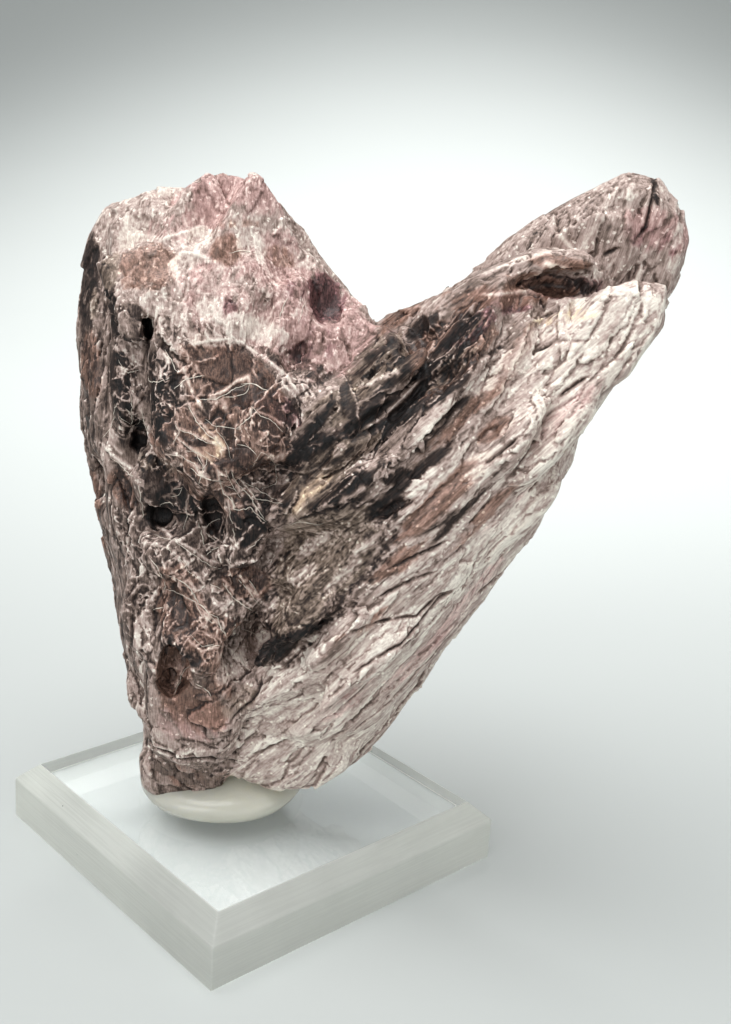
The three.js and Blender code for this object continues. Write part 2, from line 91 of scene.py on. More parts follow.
# Where strands crowd on the left book: X, Y, Z and how far they scatter
STRAND_FIELDS = [
    (-8, -20, 98, 4), (-10, -20, 92, 5), (-4, -19, 88, 4), (-12, -21, 68, 5), (-2, -20, 66, 3),
    (-4, -16, 104, 4), (-16, -18, 88, 4), (-27, -14, 100, 4), (-20, -12, 108, 5), (-10, -21, 60, 5),
    (-8, -21, 76, 5), (-6, -8, 122, 6),
]

# The fewest points that a strand may have
SHORTEST_STRAND = 4

BASE_BEVEL = 4.1
FLOOR_GAP = 0.0003
CAMERA_PLACE = (29.54, -259.59, 166.27)
CAMERA_YAW, CAMERA_PITCH, CAMERA_ROLL = 0.0334, 0.3236, 0.0699

# Soft-edged spots of each tone: centre, half length, half width, lean from the X axis in degrees, strength
TONES = {
    "pink": [
        ((-8.5, 2, 140), 12.6, 6.32, 9, 0.9), ((12, -8, 118), 10.5, 10.5, -36, 0.75),
        ((-3.5, -11, 123), 16.8, 12.6, -26, 0.55), ((2, -4, 130), 6.32, 8.42, 64, 0.6),
        ((-18, -4, 135), 10.5, 2.95, 12, 0.5), ((75.5, 4, 139), 3.79, 9.68, 84, 0.55),
        ((43.5, -13, 66.5), 14.7, 3.37, 51, 0.5), ((56.5, -16, 106), 12.6, 2.95, 54, 0.45),
        ((34.5, -17, 54.5), 12.6, 2.53, 49, 0.5), ((25.5, -9.5, 119), 6.32, 1.68, 44, 0.8),
        ((47.5, -17, 85.5), 10.5, 2.11, 49, 0.45), ((21, -21, 46.5), 10.5, 2.53, 44, 0.45),
        ((-10.5, -22, 39.5), 8.42, 6.32, 4, 0.55), ((63, -14, 119.5), 8.42, 2.11, 52, 0.35),
        ((44, -11.5, 127), 6.74, 1.68, -1, 0.9), ((72.5, 4, 141.5), 2.95, 6.32, 79, 0.6),
    ],
    "plum": [
        ((10, -1, 122.5), 5.47, 3.79, -61, 1.0), ((6.5, -8.5, 113.5), 2.95, 2.53, 4, 0.55),
        ((-7, -12.5, 121.5), 1.68, 1.89, 4, 0.7), ((5, -8, 125), 1.89, 3.37, 84, 0.45),
        ((10, -9, 117), 6.32, 2.95, -46, 0.35), ((54.5, -2.5, 128.5), 9.68, 2.32, 1, 1.0),
        ((47, -8, 125), 3.37, 0.842, 12, 0.8), ((38.5, -14, 120.5), 6.74, 1.89, 42, 0.75),
        ((4, -16.5, 103.5), 4.63, 2.53, -36, 0.9), ((-1.5, -17.5, 105.5), 7.58, 3.37, -26, 0.4),
        ((43.5, -12, 126), 6.32, 1.26, 2, 0.35), ((73, 4, 138), 2.95, 6.32, 79, 0.35),
    ],
    "dark": [
        ((-37, 0.5, 120.5), 14.7, 2.53, 92, 0.55), ((-30, -7, 119.5), 5.05, 2.74, -76, 0.95),
        ((-35.5, -6, 100), 12.6, 2.53, -81, 0.4), ((-23, -7, 116.5), 3.37, 1.26, 89, 1.0),
        ((-29, -11, 109.5), 10.5, 2.95, -81, 0.45), ((-27.5, -13.5, 102.5), 12.6, 3.79, -81, 0.45),
        ((-20, -17.5, 107), 9.47, 3.16, -76, 0.6), ((-24, -8.5, 94.5), 3.58, 2.11, 89, 1.0),
        ((-17.5, -19, 102.5), 10.5, 2.53, 84, 0.6), ((-19.5, -13, 80), 2.74, 2.53, 4, 1.0),
        ((-8, -14, 81.5), 5.89, 2.74, -76, 1.0), ((-12, -22, 92), 6.32, 2.95, 24, 0.75),
        ((-20, -15, 91), 5.05, 2.11, 4, 0.8), ((-14, -15.5, 84), 6.32, 4.63, 4, 0.75),
        ((-26.5, -12, 86), 3.37, 1.47, -56, 0.5), ((-25.5, -15.5, 76.5), 1.68, 0.632, 89, 1.0),
        ((-0.5, -18.5, 83), 5.05, 4.21, 4, 0.6), ((0.5, -20.5, 97.5), 8.42, 4.21, -46, 0.45),
        ((-12, -21.5, 64), 6.74, 3.37, -66, 0.95), ((-12.5, -24.5, 58), 3.37, 4.21, 84, 0.6),
        ((-15, -24, 57.5), 6.32, 2.53, 84, 0.6), ((-9, -25.5, 54.5), 2.74, 2.32, 4, 0.8),
        ((-5.5, -22.5, 58), 4.21, 1.68, -26, 0.5), ((25.5, -14.5, 115.5), 10.5, 3.79, 49, 0.75),
        ((35.5, -16.5, 114.5), 6.32, 2.53, 49, 1.0), ((29.5, -7, 119.5), 4, 1.47, 44, 1.0),
        ((21.5, -19, 103.5), 7.16, 2.32, 34, 1.0), ((11, -18.5, 95.5), 6.32, 2.95, 49, 1.0),
        ((17.5, -23.5, 91.5), 5.05, 1.47, 34, 1.0), ((28, -16.5, 107), 6.74, 1.47, 49, 1.0),
        ((20.5, -19.5, 98.5), 5.05, 1.26, 34, 1.0), ((27, -21.5, 94), 2.74, 1.26, 24, 1.0),
        ((14, -23, 84.5), 5.47, 1.47, 49, 1.0), ((22.5, -15.5, 111.5), 3.79, 2.32, 49, 1.0),
        ((31.5, -11, 117), 2.53, 1.89, 49, 0.9), ((30.5, -14, 112.5), 2.53, 1.26, 49, 1.0),
        ((36.5, -13, 120), 5.47, 1.26, 42, 0.8), ((45.5, -12.5, 118), 5.47, 1.05, 24, 0.6),
        ((5, -17.5, 96), 6.32, 1.26, 92, 1.0), ((-1, -19.5, 80.5), 3.37, 4.21, 4, 0.6),
        ((-18, -19.5, 101.5), 3.79, 5.47, 89, 0.7), ((51, 2.5, 136.5), 4.21, 2.53, 34, 0.35),
        ((9.5, -16, 76.5), 6.32, 1.26, 46, 0.95), ((16, -22, 76.5), 6.32, 1.26, 46, 0.9),
        ((19, -21, 82.5), 5.05, 1.26, 39, 0.9), ((12.5, -25, 70.5), 6.32, 1.47, 44, 0.85),
        # The spot at (4.5, -23.5, 57) is painted shade: near black in the deep pocket by the crease.
        ((7, -17, 73), 3.79, 1.26, 64, 0.8), ((4.5, -23.5, 57), 6.32, 4.21, 39, 1.0),
        ((11, -26, 61), 10.5, 2.95, 42, 0.6), ((8, -22.5, 67.5), 5.05, 1.68, 54, 0.4),
        ((9, -21.5, 84.5), 10.5, 1.68, 39, 0.5), ((19.5, -24, 77.5), 4.21, 1.47, 24, 0.45),
        ((27, -22.5, 88), 5.47, 1.47, 34, 0.7), ((33, -23.5, 85), 8.42, 1.89, 32, 0.55),
        ((-12, -16.5, 24), 8, 3.79, -6, 0.15), ((3, -15.5, 25), 6.32, 2.11, 9, 0.3),
        ((54.5, -2, 129), 8.42, 1.89, 0, 0.85), ((58, -4, 128.5), 4.21, 1.47, 1, 0.5),
        ((42.5, -21.5, 96.5), 12.6, 1.05, 49, 0.4), ((29.5, -19.5, 93.5), 12.6, 1.47, 44, 0.7),
        ((38.5, -20.5, 86), 10.5, 0.842, 50, 0.6), ((46, -22, 97), 10.5, 0.632, 52, 0.5),
        ((72, 4.5, 147.5), 2.95, 0.842, -76, 0.8), ((36, -18.5, 105), 14.7, 1.68, 49, 0.45),
        ((14, -16, 107.5), 6.32, 1.68, 9, 0.3), ((30, -17.5, 108), 12.6, 1.89, 49, 0.5),
        ((50.5, -17.5, 109.5), 12.6, 1.05, 54, 0.3), ((50, -19, 96.5), 12.6, 1.05, 51, 0.3),
        ((15, -24, 85), 12.6, 2.95, 44, 0.4), ((64.5, 2, 137.5), 5.47, 4.21, 54, 0.3),
        ((21.5, -10.5, 116.5), 8.42, 2.11, 49, 0.4), ((-22, -18, 63), 12.6, 1.05, -76, 0.35),
        ((-29, -7, 48.5), 12.6, 0.842, -78, 0.35),
    ],
    "brown": [
        ((-6, -16, 108.5), 11.8, 6.32, -31, 1.0), ((-26.5, -12.5, 84), 4.21, 2.74, -56, 0.95),
        ((-1.5, -17, 68), 5.47, 3.37, -6, 0.9), ((-13.5, -21.5, 64), 8.84, 5.47, -71, 0.9),
        ((-15.5, -16.5, 47.5), 10.5, 4.21, 89, 0.8), ((-8.5, -23, 47), 8.42, 7.16, 4, 0.5),
        ((-11.5, -16.5, 24), 9.26, 4.21, -6, 0.35), ((31, -10.5, 117), 12.6, 2.11, 49, 0.7),
        ((44.5, -18, 103.5), 4.21, 1.68, 39, 1.0), ((24, -2, 119.5), 7.58, 1.47, 42, 0.8),
        ((55, -7, 133.5), 6.74, 1.26, -4, 1.0), ((48, -14, 119), 5.47, 1.68, 59, 0.7),
        ((38.5, -18, 116.5), 12.6, 1.89, 49, 0.7), ((47.5, -6.5, 128), 14.7, 3.37, 14, 0.7),
        ((29, -22.5, 77.5), 8.42, 2.11, 39, 0.5), ((35.5, -21.5, 90), 14.7, 2.53, 49, 0.75),
        ((-36, -2.5, 77.5), 12.6, 2.95, -76, 0.7), ((-32.5, -3.5, 56), 12.6, 3.37, -71, 0.6),
        ((24, -23, 65), 10.5, 1.47, 34, 0.4), ((-10.5, -21, 94), 14.7, 12.6, -56, 0.5),
        ((-1, -19, 98), 10.5, 8.42, -46, 0.6), ((-6, -22.5, 57.5), 6.32, 6.32, 4, 0.6),
        ((-35.5, -5, 107), 7.58, 2.95, -76, 0.7), ((3, -15.5, 25), 7.16, 2.53, 9, 0.2),
        ((-9.5, -22.5, 41), 7.58, 6.32, 4, 0.35), ((44.5, -16.5, 112.5), 12.6, 1.89, 49, 0.5),
        ((56, -13.5, 115), 12.6, 1.05, 52, 0.3), ((-23, -9, 127.5), 6.32, 5.05, 4, 0.7),
        ((-8.5, -7.5, 131.5), 3.37, 2.95, 4, 0.75), ((1, -4, 130.5), 2.11, 4.21, 69, 0.5),
        ((43.5, -19, 86), 12.6, 1.68, 52, 0.6), ((-8, -5.5, 136.5), 7.58, 1.05, 0, 0.35),
        ((55, -14, 89), 10.5, 1.47, 52, 0.35), ((34.5, -19, 101), 12.6, 1.68, 49, 0.45),
    ],
    "green": [
        ((-30.5, -9.5, 127), 4.63, 1.68, 89, 1.0), ((-35.5, -2, 118.5), 2.95, 1.05, 89, 0.9),
        ((-19, -15, 91), 5.47, 2.53, 4, 0.5), ((22, -13.5, 113), 11.4, 5.05, 49, 0.55),
        ((14, -20, 77.5), 12.6, 9.26, 44, 0.85), ((11.5, -19, 91), 8.42, 4.63, 44, 0.7),
        ((8, -22.5, 67.5), 9.26, 6.32, 44, 0.75), ((14.5, -17.5, 104.5), 6.74, 3.37, 19, 0.6),
        ((35, -16, 114.5), 7.58, 2.95, 46, 0.5), ((45, -16.5, 110), 6.32, 2.11, 49, 0.2),
        ((18, -20.5, 98), 8.42, 2.95, 34, 0.6), ((-1, -19, 43.5), 5.05, 2.95, 34, 0.45),
    ],
    "pale": [
        ((-23, 4.5, 140.5), 4.63, 1.05, 24, 0.7), ((-29, -2.5, 130), 1.68, 0.842, 14, 1.0),
        ((-29, -1, 134), 4.21, 2.11, 24, 0.5), ((-16, -8.5, 129), 4.63, 1.89, 44, 0.6),
        ((-4, -5.5, 132.5), 2.95, 3.37, 44, 0.6), ((-9, -15, 116), 8.42, 1.68, 4, 0.75),
        ((-21, -19.5, 58), 1.68, 2.32, 84, 1.0), ((-9, -20.5, 67.5), 0.842, 2.11, 84, 0.9),
        ((22, -18.5, 96), 2.53, 1.26, 24, 1.0), ((16, -21.5, 97.5), 2.53, 1.47, 49, 0.6),
        ((41, -17, 112), 3.37, 2.32, 34, 0.75), ((34, -20.5, 106), 7.16, 1.26, 52, 0.6),
        ((31.5, -22.5, 92.5), 5.47, 1.26, 49, 0.7), ((55, -11.5, 122), 23.2, 5.47, 44, 0.5),
        ((64.5, -13, 123), 12.6, 6.74, 49, 0.45), ((49, -20, 105), 16.8, 3.79, 52, 0.6),
        ((37.5, -19, 67.5), 16.8, 2.95, 44, 0.5), ((42.5, -18, 77), 10.5, 4.63, 49, 0.55),
        ((-4, -17.5, 50), 3.79, 2.95, 24, 0.75), ((51.5, -14.5, 85), 12.6, 3.79, 54, 0.7),
        ((57, -20, 101), 12.6, 2.95, 54, 0.7), ((77.5, 4, 133.5), 2.11, 1.05, 74, 1.0),
        ((77.5, 4, 139.5), 2.74, 1.05, 79, 1.0), ((69, 4, 147.5), 6.32, 2.95, 4, 0.35),
        ((1, -16, 35), 8.42, 4.21, 34, 0.35), ((-13.5, -3, 133), 1.89, 3.37, 89, 0.6),
        ((6, -2, 130.5), 2.53, 3.37, 74, 0.5), ((-10.5, -13, 121.5), 3.16, 2.53, 4, 0.6),
        ((-28.5, -2, 131.5), 2.53, 1.47, 14, 0.7), ((-4.5, -14, 118.5), 8.42, 2.11, -8, 0.7),
        ((31.5, -6, 33), 12.6, 2.53, 44, 0.3), ((-17, -21.5, 31.5), 2.95, 1.47, -16, 0.6),
        ((-21.5, -15.5, 49), 13.1, 1.05, 92, 0.6), ((-19.5, -21.5, 36), 4.21, 1.05, -66, 0.6),
        ((-12.5, -21.5, 31.5), 5.05, 1.05, -1, 0.6), ((3.5, -11, 120), 12.6, 8.42, -46, 0.3),
        ((50, -13, 119), 10.5, 2.53, 34, 0.5), ((57.5, -16, 113.5), 10.5, 3.37, 54, 0.5),
        ((11.5, -16, 106), 6.32, 2.53, 12, 0.3), ((29.5, -22, 65), 8.42, 2.11, 39, 0.4),
        ((69.5, -11.5, 127), 5.47, 2.53, 4, 0.5), ((12.5, -17.5, 78.5), 5.89, 1.26, 46, 0.7),
        ((18, -23, 73.5), 5.89, 1.26, 46, 0.65), ((10, -20.5, 72), 4.21, 1.26, 44, 0.65),
        ((22, -24, 80), 5.05, 1.26, 42, 0.65), ((45.5, -9.5, 65.5), 10.5, 2.95, 50, 0.5),
        ((55, -15.5, 85.5), 10.5, 2.53, 54, 0.5), ((44.5, -7.5, 53.5), 6.32, 2.53, 49, 0.4),
    ],
    "cream": [
        ((12, -19.5, 90.5), 4.21, 1.68, 39, 0.65), ((9, -20.5, 87), 2.53, 1.05, 64, 0.5),
        ((-6.5, -20, 96), 1.05, 1.47, 4, 0.8), ((-9, -20, 96.5), 4.63, 3.79, -46, 0.3),
        ((40, -14, 122), 5.47, 1.26, 44, 0.3), ((55, -9.5, 124), 9.68, 1.26, 14, 0.45),
        ((13, -16, 107), 7.16, 1.47, 14, 0.25), ((9.5, -20.5, 72), 6.32, 4.21, 49, 0.2),
    ],
}
# Cracks, bright rims and thin strands: the corners of each line, traced
# Cracks are cut and painted dark inside as shade.
CRACKS = {
    "long crack of the right book": [
        (15, -26.5, 58.5), (20.5, -27, 63.5), (28.5, -21.5, 65.5), (33, -20, 65.5), (36.5, -20, 69.5),
        (41.5, -17, 71.5),
    ],
    "second crack": [
        (41.5, -17, 71.5), (37, -19.5, 69), (33.5, -20, 64), (30.5, -23.5, 61), (25.5, -26, 58),
        (20, -25.5, 53.5),
    ],
    "short crack": [(28.5, -23.5, 59), (34, -20.5, 62), (38, -17, 62)],
    "black crack by the lobe": [
        (3, -18, 49.5), (2.5, -20, 46.5), (1.5, -20.5, 44.5), (-0.5, -20.5, 42), (-3, -22, 39.5),
    ],
    "lower seam": [(16.5, -27, 44.5), (20, -21, 45), (23.5, -26, 51.5)],
    "lowest seam": [(20, -20, 39.5), (22, -19.5, 41), (23.5, -19, 42)],
    "dark streak": [(25.5, -15.5, 107.5), (29.5, -13.5, 112.5), (35, -12.5, 118.5)],
    "seam under the knob": [(17, -21, 99), (23, -17.5, 102.5), (28, -15.5, 108), (31, -14.5, 111.5)],
    "seam of the middle": [(33, -21, 103.5), (35.5, -19, 105.5), (39.5, -17.5, 110)],
    "seam above the rhomb": [(42.5, -21.5, 96.5), (45.5, -21.5, 100), (49, -21.5, 103.5)],
    "outer seam": [(52.5, -21.5, 107), (57, -16.5, 111.5), (61.5, -15.5, 115)],
    "seam of the tip": [(72.5, 10, 149.5), (71.5, 4, 146.5), (71, 4, 140.5), (68.5, 2, 137)],
    "seam of the tip root": [(62, -1, 133), (64, 2, 135), (66.5, 2, 136.5)],
    "black line in the band": [(32.5, -20, 101), (35.5, -19, 104.5), (38, -18, 109)],
    "dark line of the wing": [(50, -13.5, 117.5), (54.5, -12.5, 120), (60.5, -14, 121)],
    "seam of the left lobe": [(-20, -21, 48.5), (-20, -21, 38), (-19, -21, 33), (-17, -21.5, 31)],
    "margin seam": [(-20, -21.5, 73), (-23, -18, 63), (-23, -21, 55.5), (-24.5, -15, 39)],
    "seam over the dark foot": [(-19, -21, 33), (-12.5, -21.5, 30), (-6.5, -21.5, 31), (-2.5, -16, 28)],
    "seam in the middle zone": [(26, -23.5, 75.5), (32.5, -22.5, 79), (38, -21, 82)],
    "middle seam": [(24.5, -23.5, 69.5), (31, -22, 73.5), (36.5, -20.5, 75.5)],
    "outer lower seam": [(43.5, -13, 66.5), (49, -7.5, 70.5), (53, -4.5, 73)],
}
# Rims are raised and lightened: pale edges with a painted highlight.
RIMS = {
    "rim of the big flake": [
        (-16, -16, 113.5), (-13.5, -15, 114.5), (-10.5, -15, 115.5), (-7, -14.5, 116), (-4.5, -13, 115.5),
        (-2.5, -13, 114), (2, -13.5, 111.5), (5, -14.5, 109), (7.5, -15, 106), (8.5, -15, 104.5),
    ],
    "left rim of the big flake": [
        (-16, -16, 113.5), (-14, -17, 108.5), (-12, -18, 105), (-9.5, -18.5, 102),
    ],
    "rim of the second flake": [
        (-11.5, -17.5, 105.5), (-7.5, -17, 106), (-4.5, -16, 108.5), (-2.5, -15.5, 109.5),
        (-1.5, -17.5, 107),
    ],
    "rim of the lip": [
        (36.5, -5, 128.5), (41.5, -7, 131), (47, -6, 133.5), (51.5, -6, 135), (56.5, -1.5, 135),
        (61.5, 2, 134),
    ],
    "second sheet of the lip": [
        (44.5, -10, 130.5), (49, -3.5, 131), (51.5, -7, 133.5), (55.5, -7, 133), (59.5, -2, 131.5),
        (60.5, -3, 130),
    ],
    "third sheet of the lip": [(38.5, -9, 126.5), (43.5, -12, 128), (49.5, -5.5, 127.5), (50.5, -8.5, 127)],
    "chips at the tip root": [(58.5, -6.5, 134), (57, 2, 135.5), (55, 2, 137.5), (52.5, 4.5, 139)],
    "rim of the wing": [
        (50.5, -9, 125), (55, -7.5, 126.5), (59.5, -6, 127), (62, -3.5, 128), (64.5, -10.5, 128.5),
        (68, -9, 130), (72.5, -7, 130.5), (78, 4.5, 128),
    ],
    "crest under the top plate": [
        (-30.5, -3, 131), (-27, -0.5, 132.5), (-21.5, -6.5, 132.5), (-17, -4, 134), (-14.5, -2.5, 135),
        (-11, -3.5, 135),
    ],
    "curl": [
        (-20, -10.5, 126.5), (-19, -8.5, 128.5), (-17, -7.5, 130.5), (-14, -7.5, 130.5), (-11.5, -8, 129.5),
        (-10, -9.5, 128.5),
    ],
    "rim of the brown hollow": [
        (-33.5, -8, 93), (-31, -10.5, 92), (-29, -11, 90.5), (-25.5, -12, 88.5), (-22.5, -18, 87.5),
        (-22.5, -16, 83.5),
    ],
    "rim of the lower lobe": [
        (-20, -21, 48.5), (-20, -21, 37.5), (-19, -21, 33.5), (-17, -21.5, 31.5), (-14.5, -21.5, 30.5),
        (-11.5, -21.5, 31.5), (-9, -21.5, 33), (-6.5, -21.5, 34),
    ],
    "edge of the brown facet": [(-7, -17.5, 72), (-2, -21, 74), (1, -19.5, 74), (2.5, -14.5, 70.5)],
    "edge of the plum oval": [(7.5, -7.5, 123.5), (6.5, -7, 126), (7.5, -5.5, 128.5)],
    "lower edge of the plum oval": [(7.5, -8.5, 121), (9.5, -8.5, 119), (12, -8, 118.5)],
    "upper edge of the right book": [
        (21, -6, 120.5), (25.5, -1, 122), (29.5, -3.5, 123), (32.5, -8, 125.5),
    ],
    "crest of the knob": [
        (9.5, -14, 107), (15, -15, 108.5), (21, -16, 109.5), (25, -16.5, 112.5), (28, -13, 112),
    ],
    "crest of the middle": [(19, -21.5, 100.5), (23, -17.5, 103.5), (28, -15, 108.5), (31.5, -14.5, 112.5)],
}
# Hollows: centre, half length, half width, lean from the X axis in degrees, depth
HOLLOWS = {
    "upper slot": ((-23, -7, 116.5), 3.6, 1.1, 89, 1.5),
    "lower slot": ((-24, -9, 94.5), 3.6, 1.9, 89, 1.8),
    "left hollow": ((-19, -13, 80), 3.2, 2.7, 24, 1.6),
    "right hollow": ((-8, -14.5, 82), 5.7, 2.5, -78, 1.8),
    "brown margin hollow": ((-26.5, -12.5, 84), 4.6, 2.3, -58, 1.2),
    "small hole": ((-25.5, -15.5, 76.5), 1.5, 0.63, 89, 1.2),
    "upper plum oval": ((10, -1, 122.5), 5.5, 3.8, -61, 0.25),
    "lower plum oval": ((6.5, -8.5, 114), 2.9, 2.5, 4, 0.1),
    "upper hollow of the lobe": ((-13.5, -22, 63.5), 5.9, 2.7, -66, 0.8),
    "lower hollow of the lobe": ((-10, -25.5, 54.5), 2.5, 1.9, 4, 0.7),
    "hollow of the lip": ((54.5, -2.5, 128.5), 8.8, 1.7, 1, 1.6),
    # This pocket's darkness is painted shade.
    "deep shaded pocket by the crease": ((5, -24, 57.5), 5.5, 2.9, 39, 1.2),
    "black pocket of the knob": ((21, -19, 103), 6.7, 1.9, 37, 1.6),
    "long black pocket": ((28, -16.5, 107), 6.3, 1.1, 49, 1.2),
    "short black pocket": ((35.5, -16.5, 113.5), 6.3, 1.9, 47, 1.6),
    "left black pocket": ((12, -20, 95), 5.5, 1.7, 52, 1.2),
    "pocket in the middle": ((27, -22.5, 88), 5.1, 1.1, 32, 1.2),
    "nick at the foot": ((-3.5, -13, 22), 0.84, 1.9, 84, 1.2),
}
STRANDS = [
    [(-29.5, -10, 93), (-26.5, -13, 90.5), (-23, -17.5, 88.5), (-22.5, -18, 85.5), (-22.5, -15, 81)],
    [(-19.5, -15, 78), (-15.5, -19, 77), (-12, -18.5, 75), (-8.5, -18, 72.5), (-6, -17, 72)],
    [
        (-20.5, -20, 76), (-16.5, -20, 75.5), (-13.5, -20, 73.5), (-12, -20, 71.5), (-10.5, -20, 70),
        (-9, -20, 68.5),
    ],
    [
        (-16, -21.5, 70), (-13, -22, 68.5), (-11, -21.5, 66.5), (-9.5, -22, 64), (-6, -21.5, 61.5),
        (-3.5, -14.5, 56.5), (-3, -15, 54.5),
    ],
    [
        (-7, -21, 92.5), (-6.5, -21, 89.5), (-6, -19, 87.5), (-4.5, -18.5, 86.5), (-4, -19.5, 84.5),
        (-2.5, -18.5, 84.5), (-0.5, -18, 85), (0.5, -17.5, 84), (2.5, -17.5, 82.5),
    ],
    [(-5, -19, 86), (-4.5, -20, 83), (-4, -20.5, 81.5), (-3.5, -20, 78.5), (-2.5, -20.5, 76.5)],
    [(-13.5, -18, 104.5), (-11.5, -19, 101.5), (-9.5, -19, 99.5), (-7.5, -19.5, 98), (-6, -20, 96)],
    [(-1.5, -18.5, 105), (0, -19, 103.5), (2.5, -18, 102.5), (5, -17.5, 100.5)],
    [(-4, -18.5, 100.5), (-1.5, -19, 103), (-1, -18.5, 105)],
    [(-0.5, -20, 93.5), (1, -21, 96.5), (3, -19, 95.5), (3.5, -13.5, 90.5), (1, -15.5, 89)],
    [(-5.5, -21, 92.5), (-4, -17.5, 89), (-2.5, -18, 86.5)],
    [(-4.5, -21, 92.5), (-3, -17, 89.5), (-1, -17, 87), (2, -17.5, 83)],
    [(-3.5, -20, 91), (0, -16.5, 87), (5.5, -20, 86.5)],
    [(-2, -16, 90), (1, -15.5, 88.5), (4.5, -18.5, 87)],
    [(-16.5, -21, 94.5), (-14, -21.5, 94.5), (-11.5, -21.5, 93), (-9.5, -22, 90.5)],
    [(-16.5, -15, 87.5), (-14.5, -14, 88), (-15, -15, 86.5), (-16.5, -16, 86)],
    [(-19, -17.5, 84), (-17, -16.5, 85), (-16, -16.5, 84)],
    [(-14, -17.5, 79.5), (-13.5, -16, 83), (-13.5, -15, 85)],
    [(-11, -15.5, 81), (-9.5, -15, 76)],
    [(-9, -17, 74.5), (-8, -15.5, 75.5), (-3.5, -20, 78)],
    [(-1, -20, 76), (2, -19, 79.5)],
    [(-26, -11, 98), (-25, -13, 100.5), (-25, -12, 103), (-25.5, -11, 106)],
    [(-15.5, -19.5, 100.5), (-14.5, -20, 99), (-15.5, -20.5, 96.5)],
    [(-14.5, -19.5, 99.5), (-10.5, -20, 98), (-7.5, -20, 97)],
    [(-11.5, -17.5, 105.5), (-7.5, -17, 106), (-4.5, -16, 108.5), (-2.5, -15.5, 109.5)],
    [(-9, -21.5, 92), (-10.5, -21, 95), (-13, -20.5, 96.5), (-14.5, -20.5, 97.5)],
    [(6, -8.5, 122.5), (6.5, -7, 125.5), (7, -6, 127.5)],
    [(2.5, -10, 123), (3, -8.5, 125.5), (3.5, -7.5, 127.5)],
    [(-8, -6, 135), (-5.5, -4.5, 136), (-2.5, -3.5, 135.5)],
    [(-17.5, -16, 67), (-13.5, -20.5, 66.5), (-10.5, -22, 65), (-8.5, -22.5, 62)],
    [(-19.5, -21, 73), (-17.5, -21.5, 70), (-17, -19.5, 66)],
    [(-14.5, -18.5, 44), (-13.5, -16.5, 48), (-9.5, -25, 55.5)],
    [(-8, -24, 56), (-5, -22.5, 56.5), (-3.5, -16, 52.5)],
    [(-6.5, -22.5, 45), (-8, -23, 47), (-9.5, -23, 47.5)],
    [(-28.5, -9.5, 112.5), (-26.5, -10, 110), (-24.5, -8.5, 111)],
    [(-22.5, -11, 112), (-22, -13, 109), (-19, -17.5, 108.5), (-17, -17, 109.5)],
    [(-18.5, -15.5, 115), (-17, -16, 113), (-15.5, -16.5, 110.5)],
    [(-31.5, -9.5, 97), (-30, -8, 99), (-28, -13, 104)],
    [(-4.5, -21.5, 74.5), (-2.5, -16.5, 69.5), (-0.5, -17, 66.5), (2, -17, 64)],
    [(-3.5, -21, 73), (-1, -16.5, 68.5), (1.5, -17, 65.5)],
    [(-3, -17, 70), (-0.5, -17, 67), (2, -17, 64.5)],
    [(-5.5, -18.5, 69), (-3, -18.5, 66), (0.5, -18, 63.5)],
    [(-11, -24, 58), (-8.5, -24.5, 56), (-6, -23, 56.5)],
    [(-8.5, -21.5, 63.5), (-6.5, -22, 61.5), (-4, -22, 58.5), (-3, -16, 53)],
]

# Sets of mica scales, laid in this order, later ones over earlier ones:
# zone, how many, half length from and to, half width from and to, lift from and to, slope of the face
SCALE_SETS = [
    ("right", 520, (6, 16), (1.2, 3.2), (0.06, 0.26), 0.09),
    ("band", 120, (4, 10), (0.8, 2.2), (0.3, 0.8), 0.25),
    ("left", 300, (4, 10), (1.8, 4.2), (0.08, 0.34), 0.1),
    ("margin", 150, (5, 12), (0.6, 1.4), (0.12, 0.4), 0.25),
    ("tip", 60, (5, 10), (1.6, 3.4), (0.04, 0.12), 0.04),
    ("right", 760, (3, 9), (0.6, 1.8), (0.04, 0.17), 0.1),
    ("left", 900, (1.4, 4), (0.5, 1.6), (0.06, 0.22), 0.16),
    ("crinkled", 240, (2.5, 7), (0.9, 2.8), (0.05, 0.2), 0.07),
    ("tip", 300, (1.0, 3), (0.2, 0.5), (0.02, 0.07), 0.1),
    ("right", 700, (1.4, 5), (0.18, 0.45), (0.02, 0.07), 0.12),
    ("band", 480, (0.8, 2.8), (0.25, 0.7), (0.08, 0.32), 0.2),
    ("granular", 700, (0.6, 3.0), (0.2, 0.6), (0.03, 0.15), 0.1),
    ("left", 900, (0.6, 1.8), (0.2, 0.6), (0.05, 0.14), 0.2),
    ("crinkled", 800, (0.8, 2.8), (0.12, 0.3), (0.015, 0.05), 0.12),
    ("margin", 900, (0.8, 2.6), (0.2, 0.45), (0.06, 0.2), 0.25),
]
# How far the scales of each zone turn from the sheets' line, in degrees
SCALE_JITTER = {"right": 8, "band": 13, "left": 28, "margin": 7, "tip": 12, "crinkled": 26, "granular": 32}

# Tones of each zone: ground shade from 0, black, to 1, white; how much one scale differs from the next;
# how strong the streaks along the sheets are; how bright the scales' edges are, pale with a painted
# highlight;
# how dark the painted shade in crevices is; how strong the grit is; how strong the net of thin pale,
# highlighted edges is
ZONE_TONES = {
    "right": (0.77, 0.1, 0.17, 0.35, 0.6, 0.1, 0.0),
    "left": (0.34, 0.16, 0.16, 1.0, 0.85, 0.16, 0.9),
    "margin": (0.48, 0.16, 0.32, 0.6, 0.85, 0.16, 0.25),
    "tip": (0.62, 0.07, 0.16, 0.3, 0.5, 0.34, 0.0),
    "crinkled": (0.67, 0.08, 0.17, 0.5, 0.28, 0.22, 0.5),
    "granular": (0.44, 0.2, 0.2, 0.5, 0.6, 0.9, 0.0),
    "band": (0.3, 0.28, 0.22, 0.8, 0.95, 0.24, 0.0),
}
